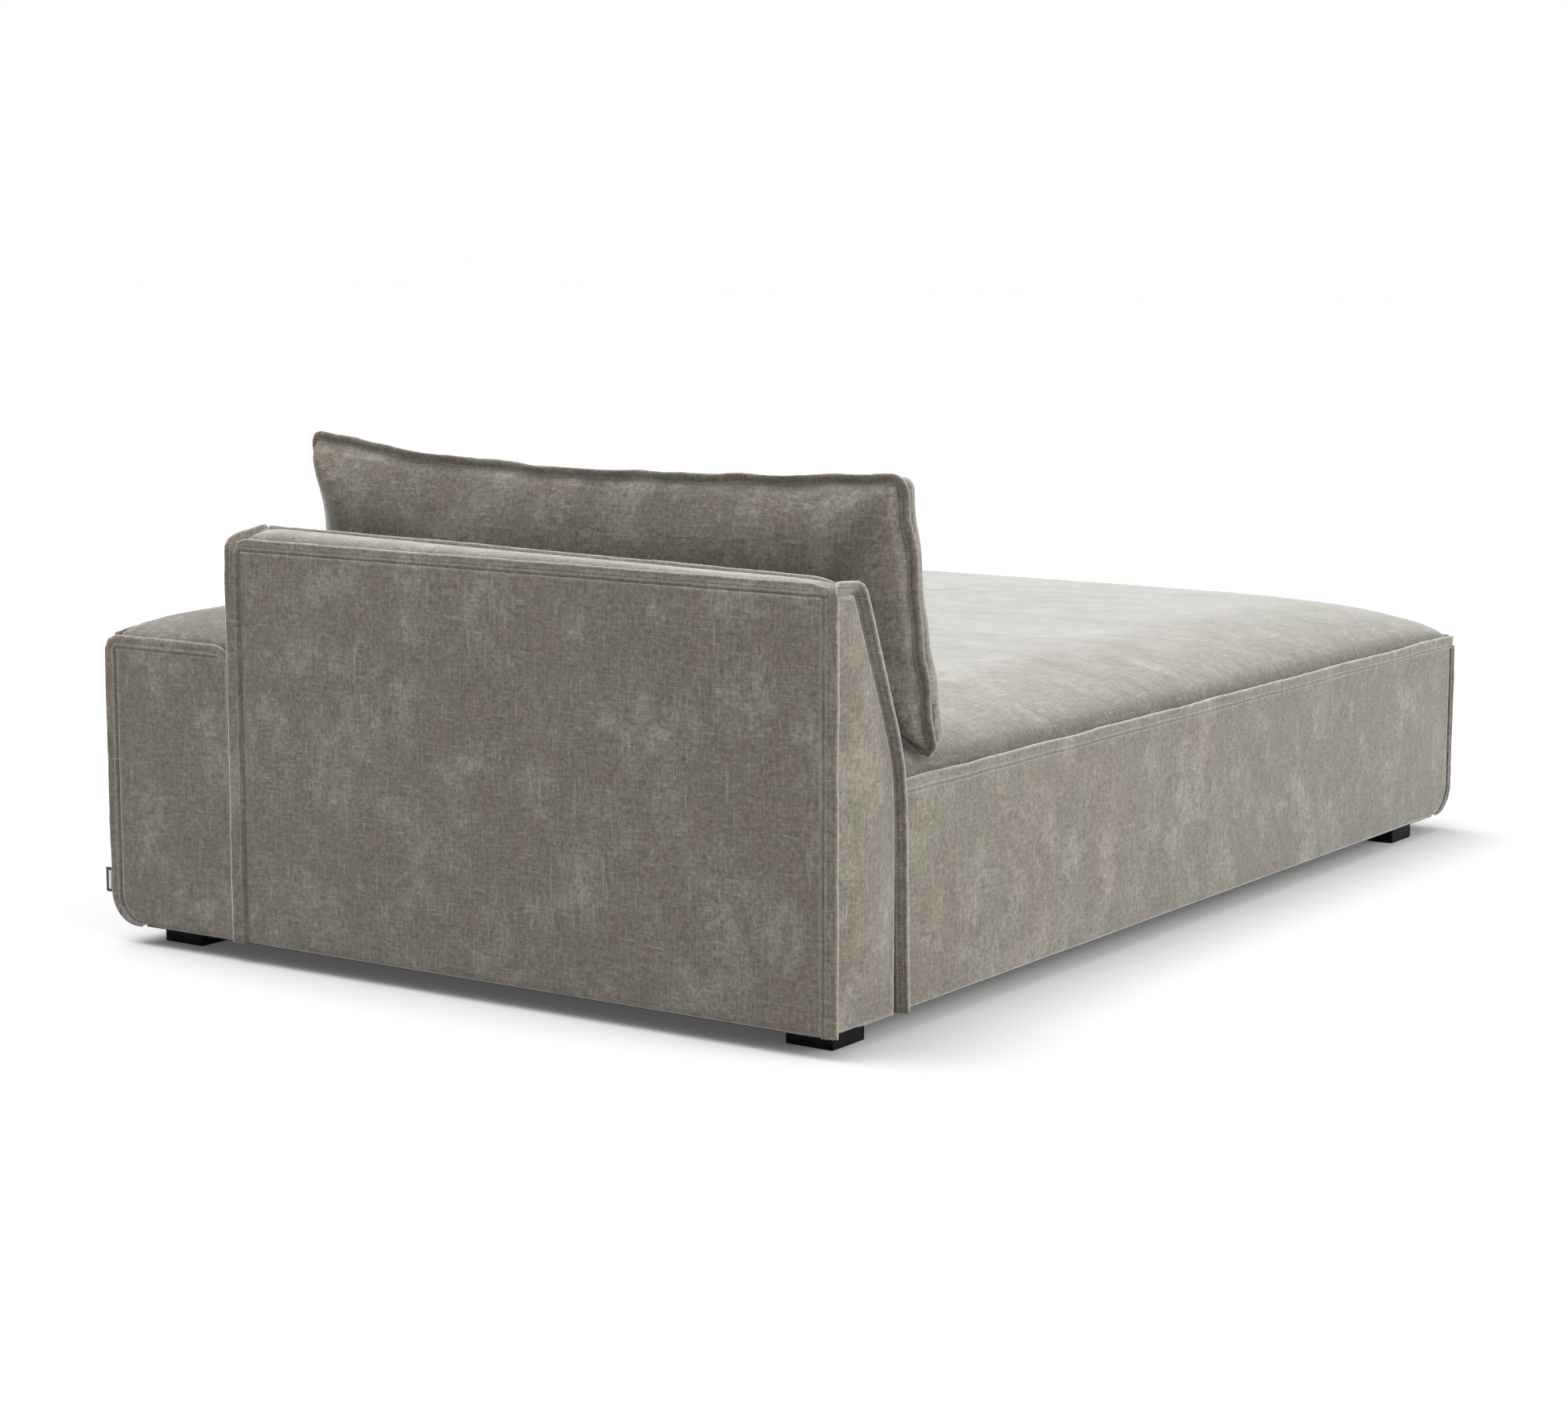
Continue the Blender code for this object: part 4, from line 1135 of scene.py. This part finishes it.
def grained(name, light, dark, scale, rough=(0.5, 0.75), stretch=(1, 1, 8)):
    """Sawn wood, board or metal with a grain along one direction."""
    n = Nodes(name)
    grain = n.noise(scale, 6, 0.65, stretch, 1.5)
    fleck = n.noise(scale * 14, 2)
    colour = n.mix(n.ranged(grain, 0.32, 0.68), dark, light)
    colour = n.mix(n.ranged(fleck, 0.55, 0.8, 0.0, 0.3), colour, dark)
    return n.set(
        Base_Color=colour, Roughness=n.ranged(grain, 0.3, 0.7, *rough), Normal=n.bump(grain, 0.0006, 0.5),
    )


def fibrous(name, light, dark, scale, bump=0.0008):
    """Foam, wadding, felt or webbing: fine even texture with slow colour drift."""
    n = Nodes(name)
    fine, slow = n.noise(scale, 3, 0.7), n.noise(scale / 30, 2)
    share = n.math("ADD", n.math("MULTIPLY", n.ranged(fine), 0.6), n.math("MULTIPLY", slow, 0.4))
    return n.set(
        Base_Color=n.mix(share, dark, light), Roughness=n.ranged(fine, 0.3, 0.7, 0.85, 1.0),
        Normal=n.bump(fine, bump, 0.7),
    )


def moulded():
    """Black moulded plastic with a faint spark-eroded grain and scuffed patches."""
    n = Nodes("foot_plastic")
    grain, scuff = n.noise(1500, 2), n.noise(60, 5, 0.7)
    colour = n.mix(n.ranged(scuff, 0.52, 0.75), (0.002, 0.002, 0.0022), (0.006, 0.006, 0.006))
    n.set(Specular_IOR_Level=0.1)
    return n.set(
        Base_Color=colour, Roughness=n.ranged(scuff, 0.3, 0.7, 0.42, 0.62), Normal=n.bump(grain, 0.0001, 0.5),
    )


def metal(name, colour, rough):
    n = Nodes(name)
    brushed = n.noise(300, 3, 0.6, (1, 12, 1))
    tone = n.mix(n.ranged(brushed, 0.3, 0.7, 0.0, 0.35), colour, (0.3, 0.3, 0.3))
    n.set(Metallic=1.0)
    return n.set(Base_Color=tone, Roughness=n.ranged(brushed, 0.3, 0.7, rough - 0.08, rough + 0.1))


def dress_frame():
    """A material for every CAD node, by the first word list that its name matches."""
    kinds = (
        (("webbing",), fibrous("webbing", (0.12, 0.12, 0.13), (0.05, 0.05, 0.055), 700)),
        (("zip_tape",), fibrous("zip_tape", (0.2, 0.18, 0.15), (0.12, 0.11, 0.09), 900, 0.0003)),
        (("zip_slider",), metal("zip_metal", (0.32, 0.3, 0.27), 0.32)),
        (("joining_plate", "screw"), metal("zinc_steel", (0.62, 0.62, 0.6), 0.38)),
        (("foam",), fibrous("foam", (0.82, 0.77, 0.6), (0.66, 0.6, 0.44), 420)),
        (("topper", "filling"), fibrous("wadding", (0.88, 0.88, 0.85), (0.74, 0.74, 0.71), 260, 0.0015)),
        (("rear_panel",), grained(
            "hardboard", (0.36, 0.25, 0.16), (0.25, 0.17, 0.1), 60.0, (0.7, 0.9), (1, 1, 1))),
        (("foot_block", "rail", "post", "board"), grained(
            "pine", (0.6, 0.43, 0.26), (0.42, 0.27, 0.14), 18.0)),
        (("foot_",), moulded()),
        (("cover", "tag"), fibrous("dust_cover", (0.045, 0.045, 0.045), (0.02, 0.02, 0.02), 800, 0.0004)),
    )
    for name in frame["nodes"]:
        node = bpy.data.objects[name]
        material = next(material for words, material in kinds if any(word in name for word in words))
        if not node.data.materials:
            node.data.materials.append(material)
        for slot in node.material_slots:
            slot.material = material


def make_tag():
    """Blank woven tag, folded over, caught in the arm's rear lip."""
    low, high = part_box("side_tag")
    n = Nodes("woven_tag")
    weave = n.noise(1400, 1)
    cream = n.mix(n.ranged(weave), (0.62, 0.6, 0.55), (0.78, 0.76, 0.71))
    dark = n.mix(n.ranged(weave), (0.022, 0.022, 0.024), (0.045, 0.045, 0.048))
    colour = n.mix(n.fold_edge(), dark, cream)
    material = n.set(Base_Color=colour, Roughness=0.8, Normal=n.bump(weave, 0.0001, 0.6))
    cloth = Cloth()
    middle = (low[1] + high[1]) / 2
    columns = [column / 16 for column in range(17)]
    rows = []
    for share in (0.0, 0.04, 0.09, 0.14, 0.24, 0.34, 0.45, 0.55, 0.66, 0.76, 0.86, 0.91, 0.96, 1.0):
        row = []
        for side in (1, -1):
            for t in columns[::side]:
                bow = 0.0009 * math.sin(math.pi * t) * ripple(share * 2, t, 91)
                half = 0.00045 + 0.0003 * dome(1 - t, 0.2)
                place = Vector((
                    lerp(low[0] - 0.006, high[0] + 0.0115, t), middle + bow + side * half,
                    lerp(low[2], high[2], share),
                ))
                is_cream = 0.13 < share < 0.87 and 0.6 < t < 0.8
                row.append(cloth.point(place, 1.0 if is_cream else 0.0))
        rows.append(row)
    cloth.grid(rows, closed=True, capped=True)
    return cloth.finish("tag", material, 0)


# --- light, floor, camera

SKY_LOW = 0.18
SKY_HIGH = 1.7


def make_sky():
    """White near the horizon, greyer higher up, and a broad soft brightness overhead."""
    world = bpy.data.worlds.new("studio")
    bpy.context.scene.world = world
    world.use_nodes = True
    tree = world.node_tree
    add, link = tree.nodes.new, tree.links.new
    place, parts, ramp = add("ShaderNodeTexCoord"), add("ShaderNodeSeparateXYZ"), add("ShaderNodeValToRGB")
    link(place.outputs["Generated"], parts.inputs[0])
    link(parts.outputs["Z"], ramp.inputs["Fac"])
    stops = ((0.0, 1.0), (0.07, 1.0), (0.16, SKY_LOW), (0.45, SKY_LOW), (0.95, SKY_HIGH))
    while len(ramp.color_ramp.elements) < len(stops):
        ramp.color_ramp.elements.new(0.5)
    for element, (position, level) in zip(ramp.color_ramp.elements, stops):
        element.position = position
        element.color = (level, level, level, 1.0)
    link(ramp.outputs["Color"], tree.nodes["Background"].inputs["Color"])


def sun(name, direction, strength, angle, colour=(1.0, 1.0, 1.0)):
    data = bpy.data.lights.new(name, "SUN")
    data.energy, data.angle, data.color = strength, math.radians(angle), colour
    add_object(name, data).rotation_euler = Vector(direction).to_track_quat("-Z", "Y").to_euler()


def make_studio():
    sun("key", (-0.34, -0.08, -0.94), 4.2, 50, (0.955, 0.98, 1.0))
    sun("side", (0.95, 0.1, -0.28), 4.5, 60)
    work = bmesh.new()
    bmesh.ops.create_grid(work, x_segments=1, y_segments=1, size=30)
    mesh = as_mesh(work, "floor")
    n = Nodes("floor")
    n.set(Emission_Color=(1.0, 1.0, 1.0), Emission_Strength=0.07)
    mesh.materials.append(n.set(Base_Color=(0.45, 0.45, 0.45), Roughness=1.0, Specular_IOR_Level=0.0))
    floor = add_object("floor", mesh)


def make_camera():
    data = bpy.data.cameras.new("camera")
    data.lens, data.sensor_width = 77.68, 36
    camera = add_object("camera", data)
    camera.location = (-3.1544, 4.78966, 1.16611)
    forward = Vector((0.5572, -0.817, -0.1487))
    camera.rotation_euler = forward.to_track_quat("-Z", "Y").to_euler()
    bpy.context.scene.camera = camera
    bpy.context.scene.view_settings.view_transform = "Standard"


def main():
    fabric, thread = upholstery(), thread_material()
    dress_frame()
    for maker, nodes, body, fill in (
        (make_seat, ("seat_cover", "seat_topper"), "frame", 0.9),
        (make_back, ("back_cover", "back_foam"), "frame", 0.95),
        (make_arm, ("arm_cover", "arm_foam"), "frame", 0.95),
        (make_cushion, ("cushion_cover", "cushion_filling"), "cushion", 0.8),
    ):
        cover, stitches = maker(fabric, thread)
        for piece in (cover, stitches):
            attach(piece, body)
        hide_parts(*nodes)
    tag = make_tag()
    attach(tag, "frame")
    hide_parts("side_tag")
    make_sky()
    make_studio()
    make_camera()


main()
